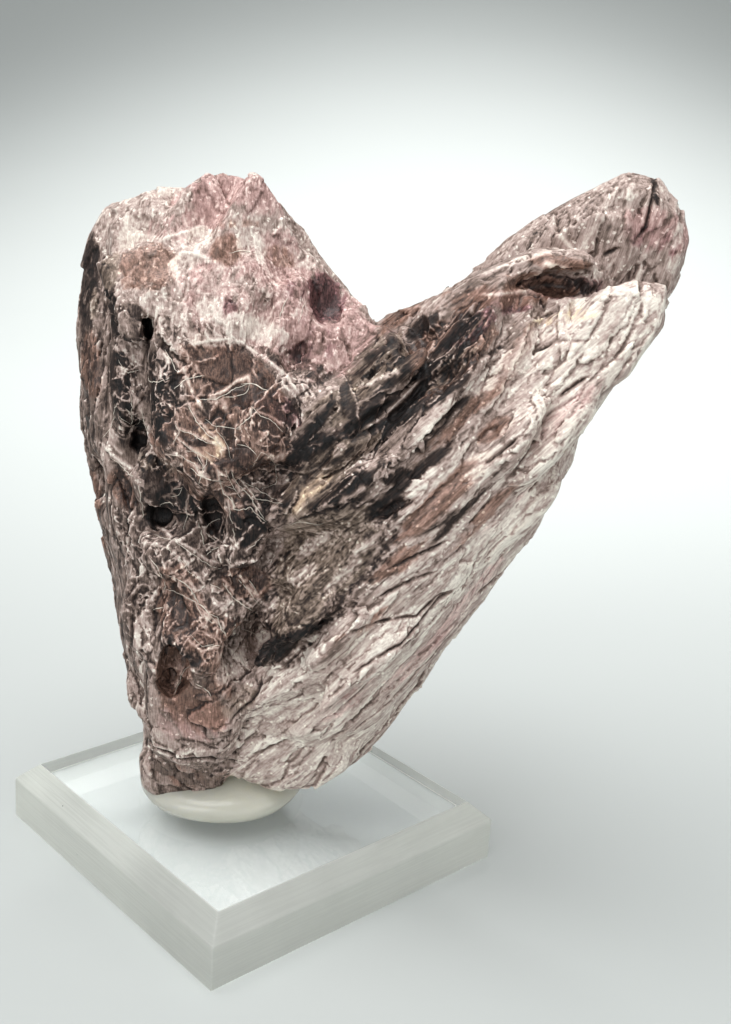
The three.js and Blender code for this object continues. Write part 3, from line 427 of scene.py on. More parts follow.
# How much lighter the ground gets: across the right book to its lower edge, and up the left book
RIGHT_LIGHTER = ((-60, -46, -36, -22, -8), (-0.2, -0.12, 0.0, 0.04, 0.02))
LEFT_LIGHTER = ((20, 36, 48, 60, 75, 95, 115), (0.12, 0.32, 0.2, 0.06, 0.0, -0.03, 0.05))
# How light the ground of each tone is
TONE_SHADES = {
    "pink": 0.7, "plum": 0.36, "dark": 0.08, "brown": 0.42, "green": 0.52, "pale": 0.8, "cream": 0.84,
}

# Broad faces with few scales on them, and faces with only long scales: centre, half length, half width, lean
CALM_SPOTS = [
    ((-7, 0, 139), 10, 6, -10), ((-4, -15, 109), 10, 5, -35), ((-12, -22, 40), 10, 9, 0),
    ((-26.5, -12.5, 84), 4.6, 2.4, -56), ((10, -1, 122.5), 5.5, 3.8, -61),
    ((44.5, -18, 103.5), 4.2, 1.8, 39), ((55, -3, 128), 9, 3, 0), ((40, -13, 124), 6, 1.6, 5),
    ((-28, -12, 128), 4, 2, 85),
]
LONG_SPOTS = [
    ((38, -16, 59), 20, 7, 47), ((24, -18, 42), 16, 7, 42), ((60, -14, 121), 14, 5, 48),
    ((44, -18, 76), 12, 4, 47),
]

# Where the softened form is drawn to the specimen's outline: centre, reach, and the shift there
FITS = [
    ((70, -10, 115), 15, (-2.4, 0, 2.2)), ((61, -14, 102), 9, (-1.3, 0, 1.2)),
    ((35, -12, 48), 15, (-2.4, 0, 2.3)), ((-5, -1, 143), 9, (0.3, 0, 3.3)),
    ((-12.5, -1, 146), 3.5, (0, 0, -1.7)), ((-19.5, 0, 139.5), 3.4, (0, 0, 2.8)),
    ((0, 0, 142), 4.5, (0, 0, 1.0)), ((4.5, 0, 134), 4, (0, 0, -1.8)), ((30, -5, 119), 8, (0, 0, -2.4)),
    ((-42, -5, 104), 6, (1.8, 0, 0)), ((-38, -4, 128), 5, (-1.3, 0, 2.0)),
    ((10, 0, 131), 11, (-0.9, 0, -2.0)), ((-28, -14, 64), 11, (2.2, 0, 0)),
    ((-27, -12, 36), 9, (2.0, 0, 0)), ((79, 4, 142), 9, (-1.2, 0, -1.0)),
]
# Pits of the solid that are softened here and cut anew as hollows: centre and reach
PITS = [((9.9, -1.2, 122.7), 8), ((6.6, -8.5, 114.2), 6), ((-23, -7.5, 116.5), 6), ((-24, -11, 95), 6),
        ((-19, -19, 82), 6), ((-8, -19, 82), 7), ((-16, -20, 63), 7), ((-12, -21, 53), 5)]

# How lines are worked into the surface: height, negative for a cut, half width, how fast they thin towards
# their ends, the least share of the width left there, and how strongly they mark the surface
# Cracks mark the surface with painted shade; rims and strands mark it pale, with a painted highlight.
CRACK_LINE = (-0.8, 0.34, 6, 0.25, (0.6, 0.4))
RIM_LINE = (0.22, 0.42, 5, 0.3, (0.0, 1.0))
STRAND_LINE = (0.1, 0.24, 1, 1.0, (0.85, 0.0))
NET_HEIGHT = 0.07
SEAM_DEPTH = 0.07

# Ovals that bound zones: centre, half length, half width, lean, half depth
FLAKE_OVAL = ((-4, -15, 107), 15, 8, -35, 12)
BAND_OVAL = ((22, -15, 103), 27, 9, 49, 14)
GRANULAR_OVAL = ((14, -22, 74), 19, 9, 50, 14)
LOBE_OVAL = ((4, -22, 60), 9, 8, 0, 14)
# How light the pale rims with their painted highlight get, and how dark the painted shade in crevices gets
RIM_SHADE, CREVICE_SHADE = 0.93, 0.05

# The share of light that passes straight through each kind of acrylic, and how strongly each bends light
POLISHED_SHADOW_SHARE, SANDED_SHADOW_SHARE = 0.95, 0.7
ACRYLIC_IOR, PUTTY_IOR, MICA_IOR = 1.49, 1.45, 1.56


def colour(code):
    """A colour from six hex digits, as the linear values that shaders take."""
    parts = [int(code[i:i + 2], 16) / 255 for i in (0, 2, 4)]
    return tuple(v / 12.92 if v <= 0.04045 else ((v + 0.055) / 1.055) ** 2.4 for v in parts)


def colour_property(name, description, code):
    return bpy.props.FloatVectorProperty(
        name=name, description=description, subtype="COLOR", size=3, min=0, max=1, default=colour(code))


def length_property(name, description, default, low=0.0, high=1.0):
    return bpy.props.FloatProperty(
        name=name, description=description, default=default, min=low, max=high,
        subtype="DISTANCE", unit="LENGTH", precision=5)


def power_property(name, description, default):
    return bpy.props.FloatProperty(
        name=name, description=description, default=default, min=0, subtype="POWER", unit="POWER")


def share_property(name, description, default):
    return bpy.props.FloatProperty(
        name=name, description=description, default=default, min=0, max=1, subtype="FACTOR")


class MicaSettings(bpy.types.PropertyGroup):
    """The mineral: how finely it is worked and its tones, from the painted shade of the deepest crevices to
    the highlighted thinnest edges.
    """
    grid: length_property("Grid", "Distance between the points of the worked surface", 0.00025, 0.0002, 0.002)
    relief: bpy.props.FloatProperty(
        name="Relief", description="Height of the scales and ridges, times that of the specimen",
        default=1.0, min=0, max=2)
    faces: bpy.props.IntProperty(
        name="Faces", description="Triangles that each of the four parts of the rock keeps", default=192000,
        min=20000, max=199000)
    # The dark tone also carries the painted shade of crevices and pockets, the cream tone the painted
    # highlight of rims.
    dark: colour_property("Dark", "Black-brown sheets, and painted shade in crevices and pockets", "0D0B0B")
    deep: colour_property("Deep brown", "Shaded sheets", "392D29")
    mauve: colour_property("Mauve brown", "Darker sheets", "7A6960")
    lilac: colour_property("Lilac grey", "Ground tone of the mica", "B6A199")
    pale: colour_property("Pale", "Pale broad faces", "DBD0C5")
    cream: colour_property("Cream", "Thin rims and crests, with their painted highlight", "F6EFE2")
    pink_tint: colour_property("Pink tint", "Rosy faces of the left book", "FFEBEE")
    plum_tint: colour_property("Plum tint", "Violet hollows", "F0C8D6")
    brown_tint: colour_property("Brown tint", "Rose-brown sheets", "FFE6DA")
    green_tint: colour_property("Green tint", "Greenish granular zones", "F3F4EC")
    cream_tint: colour_property("Cream tint", "Yellowish knobs", "FFF6E0")
    gloss: share_property("Gloss", "Pearly gloss of the cleavage faces", 0.25)


class FlakeSettings(bpy.types.PropertyGroup):
    """Loose edges of the mica: little plates and thin bright strands."""
    plates: bpy.props.IntProperty(
        name="Plates", description="Number of small plates", default=200, min=0, max=2000)
    plate_size: length_property("Plate size", "Mean half length of a plate", 0.001, 0.0003, 0.01)
    strands: bpy.props.IntProperty(
        name="Strands", description="Number of thin strands besides the traced ones", default=26,
        min=0, max=2000)
    strand_width: length_property("Strand width", "Half width of a strand", 0.000075, 0.00003, 0.001)
    strand_colour: colour_property("Strand colour", "Thin sheet edges that catch the light", "E9DFD0")


class PuttySettings(bpy.types.PropertyGroup):
    """The bead of putty that holds the rock."""
    colour: colour_property("Putty colour", "Milky tone of the putty", "F0EFE1")
    clearness: share_property("Clearness", "How far light passes straight through", 0.45)


class AcrylicSettings(bpy.types.PropertyGroup):
    """The square base."""
    clear: colour_property("Clear colour", "Tone of the polished acrylic", "FEFFFF")
    frost: colour_property("Frost colour", "Tone of the sawn and sanded sides", "DEE0D9")
    edge: length_property("Edge round", "Rounding of the base's edges", 0.0003, 0.0, 0.002)
    frost_roughness: share_property("Frost roughness", "Roughness of the sanded sides", 0.62)


class StageSettings(bpy.types.PropertyGroup):
    """Camera, floor and light."""
    lens: bpy.props.FloatProperty(
        name="Lens", description="Focal length on a 36 mm wide film", default=46.61, min=10, max=300,
        subtype="DISTANCE_CAMERA")
    floor: colour_property("Floor", "Pale floor and backdrop", "B4B8B6")
    key: power_property("Key light", "Power of the top light", 7.5)
    fill: power_property("Fill light", "Power of the front light", 3.2)
    side: power_property("Side light", "Power of the light from the right", 1.5)
    sky: bpy.props.FloatProperty(
        name="Tent light", description="Strength of the light from all around", default=0.4, min=0)
    pool: power_property("Backdrop light", "Power of the light on the backdrop", 80)


SETTINGS = {
    "lepidolite_mica": MicaSettings,
    "lepidolite_flakes": FlakeSettings,
    "lepidolite_putty": PuttySettings,
    "lepidolite_acrylic": AcrylicSettings,
    "lepidolite_stage": StageSettings,
}


# Shader helpers

def feed(tree, node, **inputs):
    """Fills a node's inputs by name, with each underscore read as a space."""
    fill_inputs(tree, node, {name.replace("_", " "): value for name, value in inputs.items()})


def fill_inputs(tree, node, inputs):
    """Fills a node's inputs: a socket is linked, and any other value is set."""
    for name, value in inputs.items():
        if isinstance(value, bpy.types.NodeSocket):
            tree.links.new(value, node.inputs[name])
        else:
            node.inputs[name].default_value = value


def add_node(tree, kind, inputs=None, **settings):
    """Adds a node with its settings and inputs."""
    node = tree.nodes.new(kind)
    for name, value in settings.items():
        setattr(node, name, value)
    fill_inputs(tree, node, inputs or {})
    return node


def rgba(tone):
    return (*tone[:3], 1.0)


def mixed(tree, share, first, second, blend="MIX"):
    """The colour between two colours or sockets at a share."""
    inputs = {0: share}
    for index, value in ((6, first), (7, second)):
        inputs[index] = value if isinstance(value, bpy.types.NodeSocket) else rgba(value)
    return add_node(tree, "ShaderNodeMix", inputs, data_type="RGBA", blend_type=blend).outputs[2]


def maths(tree, operation, first, second=0.0, clamp=False):
    node = add_node(tree, "ShaderNodeMath", {0: first, 1: second}, operation=operation, use_clamp=clamp)
    return node.outputs[0]


def spread_value(tree, value, low, high, to_low=0.0, to_high=1.0):
    """A value between two limits, stretched smoothly over a new range."""
    return add_node(tree, "ShaderNodeMapRange", {
        "Value": value, "From Min": low, "From Max": high, "To Min": to_low, "To Max": to_high,
    }, interpolation_type="SMOOTHSTEP").outputs[0]


def new_group(name, inputs, outputs):
    """A shader node group with named sockets; gives the tree, its inputs by name, and its output node."""
    tree = bpy.data.node_groups.new(name, "ShaderNodeTree")
    for label, kind, default in inputs:
        socket = tree.interface.new_socket(name=label, in_out="INPUT", socket_type=kind)
        socket.default_value = default
    for label, kind in outputs:
        tree.interface.new_socket(name=label, in_out="OUTPUT", socket_type=kind)
    return tree, tree.nodes.new("NodeGroupInput").outputs, tree.nodes.new("NodeGroupOutput")


def use_group(tree, name, inputs):
    """Places a node group with its values."""
    node = tree.nodes.new("ShaderNodeGroup")
    node.node_tree = bpy.data.node_groups[name]
    fill_inputs(tree, node, inputs)
    return node.outputs


def build_groups():
    """The effects that several materials share."""
    if "Fibre lines" in bpy.data.node_groups:
        return
    tree, inputs, output = new_group("Fibre lines", [
        ("Turn", "NodeSocketVector", (0, 0, 0)),
        ("Stretch", "NodeSocketVector", (1, 1, 1)),
        ("Detail", "NodeSocketFloat", 3.0),
    ], [("Lines", "NodeSocketFloat")])
    place = add_node(tree, "ShaderNodeTexCoord").outputs["Object"]
    turned = add_node(tree, "ShaderNodeMapping", {
        "Vector": place, "Rotation": inputs["Turn"]}).outputs[0]
    drawn = add_node(tree, "ShaderNodeMapping", {"Vector": turned, "Scale": inputs["Stretch"]}).outputs[0]
    noise = add_node(tree, "ShaderNodeTexNoise", {
        "Vector": drawn, "Scale": 1.0, "Detail": inputs["Detail"], "Roughness": 0.6, "Distortion": 0.4,
    }).outputs[0]
    tree.links.new(spread_value(tree, noise, 0.32, 0.68), output.inputs["Lines"])

    tree, inputs, output = new_group("Glints", [
        ("Size", "NodeSocketFloat", 2500.0),
        ("Share", "NodeSocketFloat", 0.08),
    ], [("Glints", "NodeSocketFloat")])
    place = add_node(tree, "ShaderNodeTexCoord").outputs["Object"]
    cells = add_node(tree, "ShaderNodeTexVoronoi", {"Vector": place, "Scale": inputs["Size"]})
    chance = add_node(tree, "ShaderNodeSeparateColor", {0: cells.outputs["Color"]}).outputs[0]
    tree.links.new(maths(tree, "LESS_THAN", chance, inputs["Share"]), output.inputs["Glints"])

    tree, inputs, output = new_group("Mottle", [
        ("Size", "NodeSocketFloat", 400.0),
        ("Low", "NodeSocketFloat", 0.8),
        ("High", "NodeSocketFloat", 1.1),
    ], [("Value", "NodeSocketFloat")])
    place = add_node(tree, "ShaderNodeTexCoord").outputs["Object"]
    noise = add_node(tree, "ShaderNodeTexNoise", {
        "Vector": place, "Scale": inputs["Size"], "Detail": 5.0, "Roughness": 0.6}).outputs[0]
    ranged = add_node(tree, "ShaderNodeMapRange", {
        "Value": noise, "From Min": 0.3, "From Max": 0.7, "To Min": inputs["Low"], "To Max": inputs["High"]})
    tree.links.new(ranged.outputs[0], output.inputs["Value"])


def new_material(name):
    """An empty material with its Principled shader."""
    material = bpy.data.materials.new(name)
    material.use_nodes = True
    material.node_tree.nodes.clear()
    tree = material.node_tree
    shader = add_node(tree, "ShaderNodeBsdfPrincipled")
    output = add_node(tree, "ShaderNodeOutputMaterial")
    tree.links.new(shader.outputs[0], output.inputs["Surface"])
    return material, tree, shader


def level_turn(direction):
    """Rotation that lays a direction in the XZ plane along X, for a Mapping node."""
    return (0.0, math.atan2(direction[2], direction[0]), 0.0)


def scaled_colour(tree, tone, value):
    """A colour made darker or lighter by a value."""
    grey = add_node(tree, "ShaderNodeCombineColor", {0: value, 1: value, 2: value}).outputs[0]
    return mixed(tree, 1.0, tone, grey, "MULTIPLY")


def mica_material(settings):
    """Flaky mica: light and dark from the worked surface, with its painted shade and highlights, painted
    glints, lines along the sheets, tints, pearly gloss.
    """
    found = bpy.data.materials.get("Flaky lepidolite")
    if found:
        return found
    material, tree, shader = new_material("Flaky lepidolite")
    masks = {name: add_node(tree, "ShaderNodeAttribute", attribute_name=name).outputs["Fac"]
             for name in ("shade", *HUES, "right_share", "tip_share")}
    lines = use_group(tree, "Fibre lines", {
        "Turn": level_turn(UPRIGHT), "Stretch": (420, 3600, 3600)})["Lines"]
    arm_lines = use_group(tree, "Fibre lines", {
        "Turn": level_turn(ARM_DIRECTION), "Stretch": (260, 3000, 3000)})["Lines"]
    tip_lines = use_group(tree, "Fibre lines", {
        "Turn": level_turn(TIP_DIRECTION), "Stretch": (240, 3200, 3200)})["Lines"]
    for share, other in ((masks["right_share"], arm_lines), (masks["tip_share"], tip_lines)):
        lines = add_node(tree, "ShaderNodeMix", {0: share, 2: lines, 3: other}).outputs[0]
    fine = use_group(tree, "Mottle", {"Size": 1700.0, "Low": -0.5, "High": 0.5})["Value"]

    relative = maths(tree, "SUBTRACT", lines, 0.5)
    shade = maths(tree, "ADD", masks["shade"], maths(tree, "MULTIPLY", relative, 0.17))
    shade = maths(tree, "ADD", shade, maths(tree, "MULTIPLY", fine, 0.13))
    # Painted glints: sparse bright spots added to the colour of the lighter faces; they also lower the
    # roughness.
    glints = use_group(tree, "Glints", {"Size": 2100.0, "Share": 0.035})["Glints"]
    glints = maths(tree, "MULTIPLY", glints, spread_value(tree, shade, 0.2, 0.5))
    shade = maths(tree, "ADD", shade, maths(tree, "MULTIPLY", glints, 0.25), clamp=True)
    ramp = add_node(tree, "ShaderNodeValToRGB", {0: shade})
    stops = ((0.0, settings.dark), (0.24, settings.deep), (0.46, settings.mauve), (0.68, settings.lilac),
             (0.86, settings.pale), (1.0, settings.cream))
    while len(ramp.color_ramp.elements) < len(stops):
        ramp.color_ramp.elements.new(0.5)
    for element, (place, tone) in zip(ramp.color_ramp.elements, stops):
        element.position, element.color = place, rgba(tone)
    tone = ramp.outputs[0]
    for name in HUES:
        tone = mixed(tree, masks[name], tone, getattr(settings, name + "_tint"), "MULTIPLY")
    tree.links.new(tone, shader.inputs["Base Color"])

    rough = spread_value(tree, fine, -0.5, 0.5, 0.36, 0.62)
    rough = maths(tree, "SUBTRACT", rough, maths(tree, "MULTIPLY", glints, 0.25), clamp=True)
    glossy = maths(tree, "ADD", masks["plum"], masks["brown"], clamp=True)
    rough = maths(tree, "SUBTRACT", rough, maths(tree, "MULTIPLY", glossy, 0.12), clamp=True)
    tree.links.new(rough, shader.inputs["Roughness"])
    coat = maths(tree, "MULTIPLY", glossy, settings.gloss)
    feed(tree, shader, Coat_Weight=coat, Coat_Roughness=0.3, IOR=MICA_IOR, Specular_IOR_Level=0.2)

    height = maths(tree, "ADD", maths(tree, "MULTIPLY", lines, 0.6), maths(tree, "MULTIPLY", fine, 0.5))
    bump = add_node(tree, "ShaderNodeBump", {
        "Strength": 0.6, "Distance": 0.00014, "Height": height}).outputs[0]
    tree.links.new(bump, shader.inputs["Normal"])
    return material


# Working the mineral's surface

def read(items, name, width, kind=np.float64):
    """One value of every item of a mesh, as an array with a row for each item."""
    values = np.empty(len(items) * width, np.int32 if kind is int else np.float32)
    items.foreach_get(name, values)
    return values.reshape(-1, width).astype(kind) if width > 1 else values.astype(kind)


def unit(vectors):
    return vectors / np.maximum(np.linalg.norm(vectors, axis=-1, keepdims=True), 1e-9)


def smooth_step(values, low, high):
    t = np.clip((values - low) / (high - low), 0, 1)
    return t * t * (3 - 2 * t)


def soft_noise(points, seed):
    """Smooth random values from -1 to 1 that change over about one unit."""
    cell = np.floor(points).astype(np.int64)
    part = points - cell
    part = part * part * (3 - 2 * part)
    total = np.zeros(len(points))
    for corner in itertools.product((0, 1), repeat=3):
        x, y, z = (cell + corner).T
        mark = x * 73856093 ^ y * 19349663 ^ z * 83492791 ^ seed * 2654435
        mark = (mark ^ (mark >> 13)) * 1274126177 & 0x7FFFFFFF
        value = ((mark ^ (mark >> 15)) & 0xFFFF) / 32767.5 - 1
        weight = np.prod(np.where(corner, part, 1 - part), axis=1)
        total += weight * value
    return total


def soft_shift(points, seeds):
    """A smooth random shift of each point, with a seed for each axis."""
    return np.stack([soft_noise(points, seed) for seed in seeds], 1)


def streaks(points, grain, length, width, seed):
    """Noise drawn out along each point's grain."""
    along = np.sum(points * grain, axis=1, keepdims=True) * grain
    return soft_noise((points - along) / width + along / length, seed)


def crease_x(z):
    return np.interp(z, CREASE_Z, CREASE_X)


def oval_distance(points, centre, length, width, lean, depth):
    """Distance from an oval's middle, 1 at its edge; it lies in the XZ plane and leans from the X axis."""
    x, y, z = (points - centre).T
    cos, sin = math.cos(math.radians(lean)), math.sin(math.radians(lean))
    along, across = x * cos + z * sin, z * cos - x * sin
    return np.sqrt((along / length) ** 2 + (across / width) ** 2 + (y / depth) ** 2)


def nearest_oval(points, spots, depth):
    return np.min([oval_distance(points, *spot, depth) for spot in spots], axis=0)


def line_distance(points, path):
    """Distance in mm from a path, and how far along it the nearest point is, from 0 to 1."""
    near = np.full(len(points), 99.0)
    share = np.zeros(len(points))
    stretch = np.array((1, 0.35, 1))
    corners = np.array(path, float) * stretch
    flat = points * stretch
    for i, (start, end) in enumerate(zip(corners, corners[1:])):
        low, high = np.minimum(start, end) - 3, np.maximum(start, end) + 3
        reach = np.flatnonzero(np.all((flat > low) & (flat < high), axis=1))
        if not len(reach):
            continue
        line = end - start
        t = np.clip((flat[reach] - start) @ line / (line @ line), 0, 1)
        gap = np.linalg.norm(flat[reach] - start - t[:, None] * line, axis=1)
        closer = gap < near[reach]
        near[reach[closer]] = gap[closer]
        share[reach[closer]] = (i + t[closer]) / (len(corners) - 1)
    return near, share


def zone_of(points, normals):
    """The masks of the specimen's zones at each point, no two at the same point."""
    x, y, z = points.T
    right = x > crease_x(z)
    tip = right & (z > 127) & (y > 0.5) & (x > 33)
    margin = ~right & ((x < -29) | (normals[:, 0] < -0.6)) & (z < 128)
    big_flake = oval_distance(points, *FLAKE_OVAL) < 1
    crinkled = ~right & ~margin & (z > 114 - 0.25 * x) & ~big_flake
    granular = (oval_distance(points, *GRANULAR_OVAL) < 1) & right
    granular |= oval_distance(points, *LOBE_OVAL) < 1
    band = right & ~granular & (oval_distance(points, *BAND_OVAL) < 1)
    return {
        "right": right & ~tip & ~granular & ~band, "left": ~right & ~crinkled & ~margin & ~granular,
        "margin": margin & ~granular, "tip": tip, "crinkled": crinkled, "granular": granular, "band": band,
    }


def grain_of(points, zones):
    """The line that the sheets' fibres follow at each point."""
    grain = np.tile(unit(np.array((0.05, 0.0, 1.0))), (len(points), 1))
    grain[zones["left"]] = unit(np.array((0.5, 0.0, -0.86)))
    for zone in ("right", "band", "granular"):
        grain[zones[zone]] = ARM_DIRECTION
    grain[zones["tip"]] = TIP_DIRECTION
    fan = zones["crinkled"] & (points[:, 0] > -2)
    grain[fan] = unit(np.array((0.34, 0.0, 0.94)))
    return grain


class Skin:
    """The points of a worked surface in mm, with the relief and the marks that are worked into them."""

    BUCKET = 3.0

    def __init__(self, mesh):
        self.points = read(mesh.vertices, "co", 3) / MM
        self.edges = read(mesh.edges, "vertices", 2, int)
        self.degree = np.bincount(self.edges.ravel(), minlength=len(self.points)).astype(float)
        self.normals = unit(self.evened(read(mesh.vertices, "normal", 3), 8))
        self.height = np.zeros(len(self.points))
        # rim marks the pale scale edges with their painted highlight, gap the painted shadow lines under
        # raised edges
        self.rim = np.zeros(len(self.points))
        self.gap = np.zeros(len(self.points))
        self.leaf = np.full(len(self.points), 0.5)
        cells = np.floor(self.points / self.BUCKET).astype(int)
        order = np.lexsort(cells.T)
        keys, starts = np.unique(cells[order][:, ::-1], axis=0, return_index=True)
        self.buckets = {tuple(key[::-1]): found for key, found in zip(keys, np.split(order, starts[1:]))}

    def evened(self, values, rounds):
        """Values averaged with those of the neighbouring points."""
        a, b = self.edges.T
        values = np.array(values, float)
        count = len(self.degree)
        for _ in range(rounds):
            columns = values.reshape(count, -1)
            total = [np.bincount(a, c[b], count) + np.bincount(b, c[a], count) + c for c in columns.T]
            values = (np.array(total) / (self.degree + 1)).T.reshape(values.shape)
        return values

    def near(self, centre, reach):
        low = np.floor((centre - reach) / self.BUCKET).astype(int)
        high = np.floor((centre + reach) / self.BUCKET).astype(int)
        cells = itertools.product(*(range(a, b + 1) for a, b in zip(low, high)))
        found = [self.buckets[c] for c in cells if c in self.buckets]
        return np.concatenate(found) if found else np.empty(0, int)

    def lay(self, scale):
        """Lays one tilted scale on the surface: it rises across its face and ends in a sharp ragged edge."""
        centre, along, across, out, length, width, lift, slope, leaf, phase, bright = scale
        found = self.near(centre, length)
        offset = self.points[found] - centre
        a, b, rise = offset @ along / length, offset @ across / width, offset @ out
        wave = 1 + 0.12 * np.sin(4.1 * a + phase) + 0.09 * np.sin(9.7 * a + 2.3 * phase)
        wave = wave + 0.06 * np.sin(23 * a + phase)
        lens = wave * np.clip(1 - a * a, 0, 1) ** 0.6
        edge = (lens - b) * width
        close = (np.abs(b) < lens + 0.4 / width) & (np.abs(rise) < length)
        close &= (self.normals[found] @ out > 0.25) & ((b > 0) | (edge > 0))
        found, a, b, rise, lens, edge = (v[close] for v in (found, a, b, rise, lens, edge))
        inside = (edge > 0) & (np.abs(b) < lens)
        if inside.sum() < 3:
            return
        middle = inside & (np.abs(a) < 0.6)
        ground = self.height[found]
        base = ground[middle if middle.any() else inside].mean()
        top = min(base, 1.1) + lift + slope * b * width - 0.4 * np.clip(rise, -1.2, 1.2)
        top = np.minimum(top, ground + 1.3)
        gain = inside & (top > ground)
        kept = found[gain]
        self.height[kept] = top[gain]
        self.leaf[kept] = leaf
        # The raised edge gets a pale rim with a painted highlight.
        self.rim[kept] = bright * smooth_step(-edge[gain], -0.42, -0.1)
        self.gap[kept] = 0
        # Ground just outside a higher scale gets a painted shadow line.
        under = ~inside & (top > ground + 0.05)
        self.gap[found[under]] = np.maximum(self.gap[found[under]], smooth_step(edge[under], -0.32, -0.05))


def rock_form():
    """The specimen's solid as an even coarse skin, softened so that the sheets can be worked on it."""
    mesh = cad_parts["lepidolite"].data.copy()
    form = bpy.data.objects.new("form", mesh)
    bpy.context.scene.collection.objects.link(form)
    select_only(form)
    mesh.materials.clear()
    bpy.ops.object.mode_set(mode="EDIT")
    bpy.ops.mesh.select_all(action="SELECT")
    bpy.ops.mesh.remove_doubles(threshold=1e-6)
    bpy.ops.object.mode_set(mode="OBJECT")
    apply_modifier(form, "REMESH", mode="VOXEL", voxel_size=FORM_GRID)
    apply_modifier(form, "SMOOTH", factor=0.5, iterations=4)
    points = read(form.data.vertices, "co", 3) / MM
    x, y, z = points.T
    right = x > crease_x(z) + 2
    pits = np.min([np.linalg.norm(points - centre, axis=1) / reach for centre, reach in PITS], axis=0) < 1
    for name, wanted, rounds in (
            ("body", ~(right & (z > 117)), 8), ("faces", (right & (z < 117)) | ((y < -4) & (z < 122)), 22),
            ("flat face", right & (z < 112) & (y < 2), 40), ("pits", pits, 70)):
        form.vertex_groups.new(name=name).add(np.flatnonzero(wanted).tolist(), 1.0, "REPLACE")
        apply_modifier(form, "SMOOTH", factor=0.5, iterations=rounds, vertex_group=name)
    points = read(form.data.vertices, "co", 3) / MM
    drawn = points.copy()
    for centre, reach, shift in FITS:
        near = np.exp(-np.sum(((points - centre) * (1, 0.6, 1)) ** 2, axis=1) / reach ** 2)
        drawn += near[:, None] * np.array(shift)
    form.data.vertices.foreach_set("co", (drawn * MM).astype(np.float32).ravel())
    return form


def apply_modifier(piece, kind, **settings):
    select_only(piece)
    modifier = piece.modifiers.new(kind.title(), kind)
    for name, value in settings.items():
        setattr(modifier, name, value)
    bpy.ops.object.modifier_apply(modifier=modifier.name)


def cut_part(form, name, cuts, grid):
    """One part of the softened form, cut by planes and closed, as an even fine skin."""
    piece = bpy.data.objects.new(name, form.data.copy())
    bpy.context.scene.collection.objects.link(piece)
    select_only(piece)
    bpy.ops.object.mode_set(mode="EDIT")
    for (place, normal), side in cuts:
        outward = Vector(normal).normalized() * side
        bpy.ops.mesh.select_all(action="SELECT")
        bpy.ops.mesh.bisect(
            plane_co=(Vector(place) + outward * PART_OVERLAP) * MM, plane_no=outward,
            use_fill=True, clear_outer=True)
    bpy.ops.object.mode_set(mode="OBJECT")
    apply_modifier(piece, "REMESH", mode="VOXEL", voxel_size=grid)
    apply_modifier(piece, "SMOOTH", factor=0.5, iterations=6)
    return piece


def select_nothing():
    if bpy.context.mode != "OBJECT":
        bpy.ops.object.mode_set(mode="OBJECT")
    bpy.ops.object.select_all(action="DESELECT")


def select_only(piece):
    """Selects one object alone and makes it active."""
    select_nothing()
    piece.select_set(True)
    bpy.context.view_layer.objects.active = piece


def scale_plans(skin):
    """Where each scale lies: found on the coarse form, so that all parts get the same scales."""
    random = np.random.default_rng(41)
    zones = zone_of(skin.points, skin.normals)
    calm = nearest_oval(skin.points, CALM_SPOTS, 10)
    long = nearest_oval(skin.points, LONG_SPOTS, 16)
    plans = []
    for zone, count, lengths, widths, lifts, slope in SCALE_SETS:
        members = np.flatnonzero(zones[zone])
        for index in random.choice(members, count):
            centre, out = skin.points[index], skin.normals[index]
            chance, length, width, lift, leaf, phase, turn, steep, bright = random.random(9)
            length = lengths[0] + (lengths[1] - lengths[0]) * length ** 1.6
            width = widths[0] + (widths[1] - widths[0]) * width ** 1.4
            too_busy = calm[index] < 1 and (chance < 0.85 or length > 5)
            if too_busy or long[index] < 1 and length < 5 and chance < 0.7:
                continue
            cleavage = np.array(LEFT_CLEAVAGE if zone in ("left", "crinkled", "margin") else RIGHT_CLEAVAGE)
            trace = np.cross(cleavage, out)
            if zone in ("crinkled", "margin"):
                trace = np.array(UPRIGHT) - out * out[2]
                if np.linalg.norm(trace) < 0.5:
                    trace = np.array((0.3, -1, 0)) - out * (0.3 * out[0] - out[1])
            elif zone == "tip":
                trace = np.array(TIP_DIRECTION)
            elif np.linalg.norm(trace) < 0.3:
                trace = np.array(ARM_DIRECTION)
            trace = unit(trace - out * (trace @ out))
            across = np.cross(out, trace)
            angle = math.radians(SCALE_JITTER[zone]) * (2 * turn - 1)
            along = trace * math.cos(angle) + across * math.sin(angle)
            across = np.cross(out, along)
            if across @ cleavage > 0:
                across = -across
            lift = lifts[0] + (lifts[1] - lifts[0]) * lift
            if centre[2] < 24:
                lift *= 0.5
            plans.append((centre, along, across, out, length, min(width, length * 0.8), lift,
                          slope * (0.5 + steep), leaf, 6.3 * phase, float(bright > 0.45)))
    return plans


def ground_shades(points, zones, leaf):
    """How light each point's ground is before the tones are laid, and the strength of the other marks."""
    x, _, z = points.T
    shade, streak, rim, painted_crevice_shade, grit, net = (np.zeros(len(points)) for _ in range(6))
    for zone, (level, contrast, *others) in ZONE_TONES.items():
        inside = zones[zone]
        shade[inside] = level + contrast * (2 * leaf[inside] - 1)
        for strength, value in zip((streak, rim, painted_crevice_shade, grit, net), others):
            strength[inside] = value
    from_edge = 0.73 * x - 0.68 * z
    right, left = zones["right"], zones["left"]
    shade[right] += np.interp(from_edge, *RIGHT_LIGHTER)[right]
    shade[left] += np.interp(z, *LEFT_LIGHTER)[left]
    for strength in (rim, net):
        strength[left] *= np.interp(z, (42, 58), (0.25, 1.0))[left]
    grit[left & (z < 22)] = 0.4
    return shade, streak, rim, painted_crevice_shade, grit, net


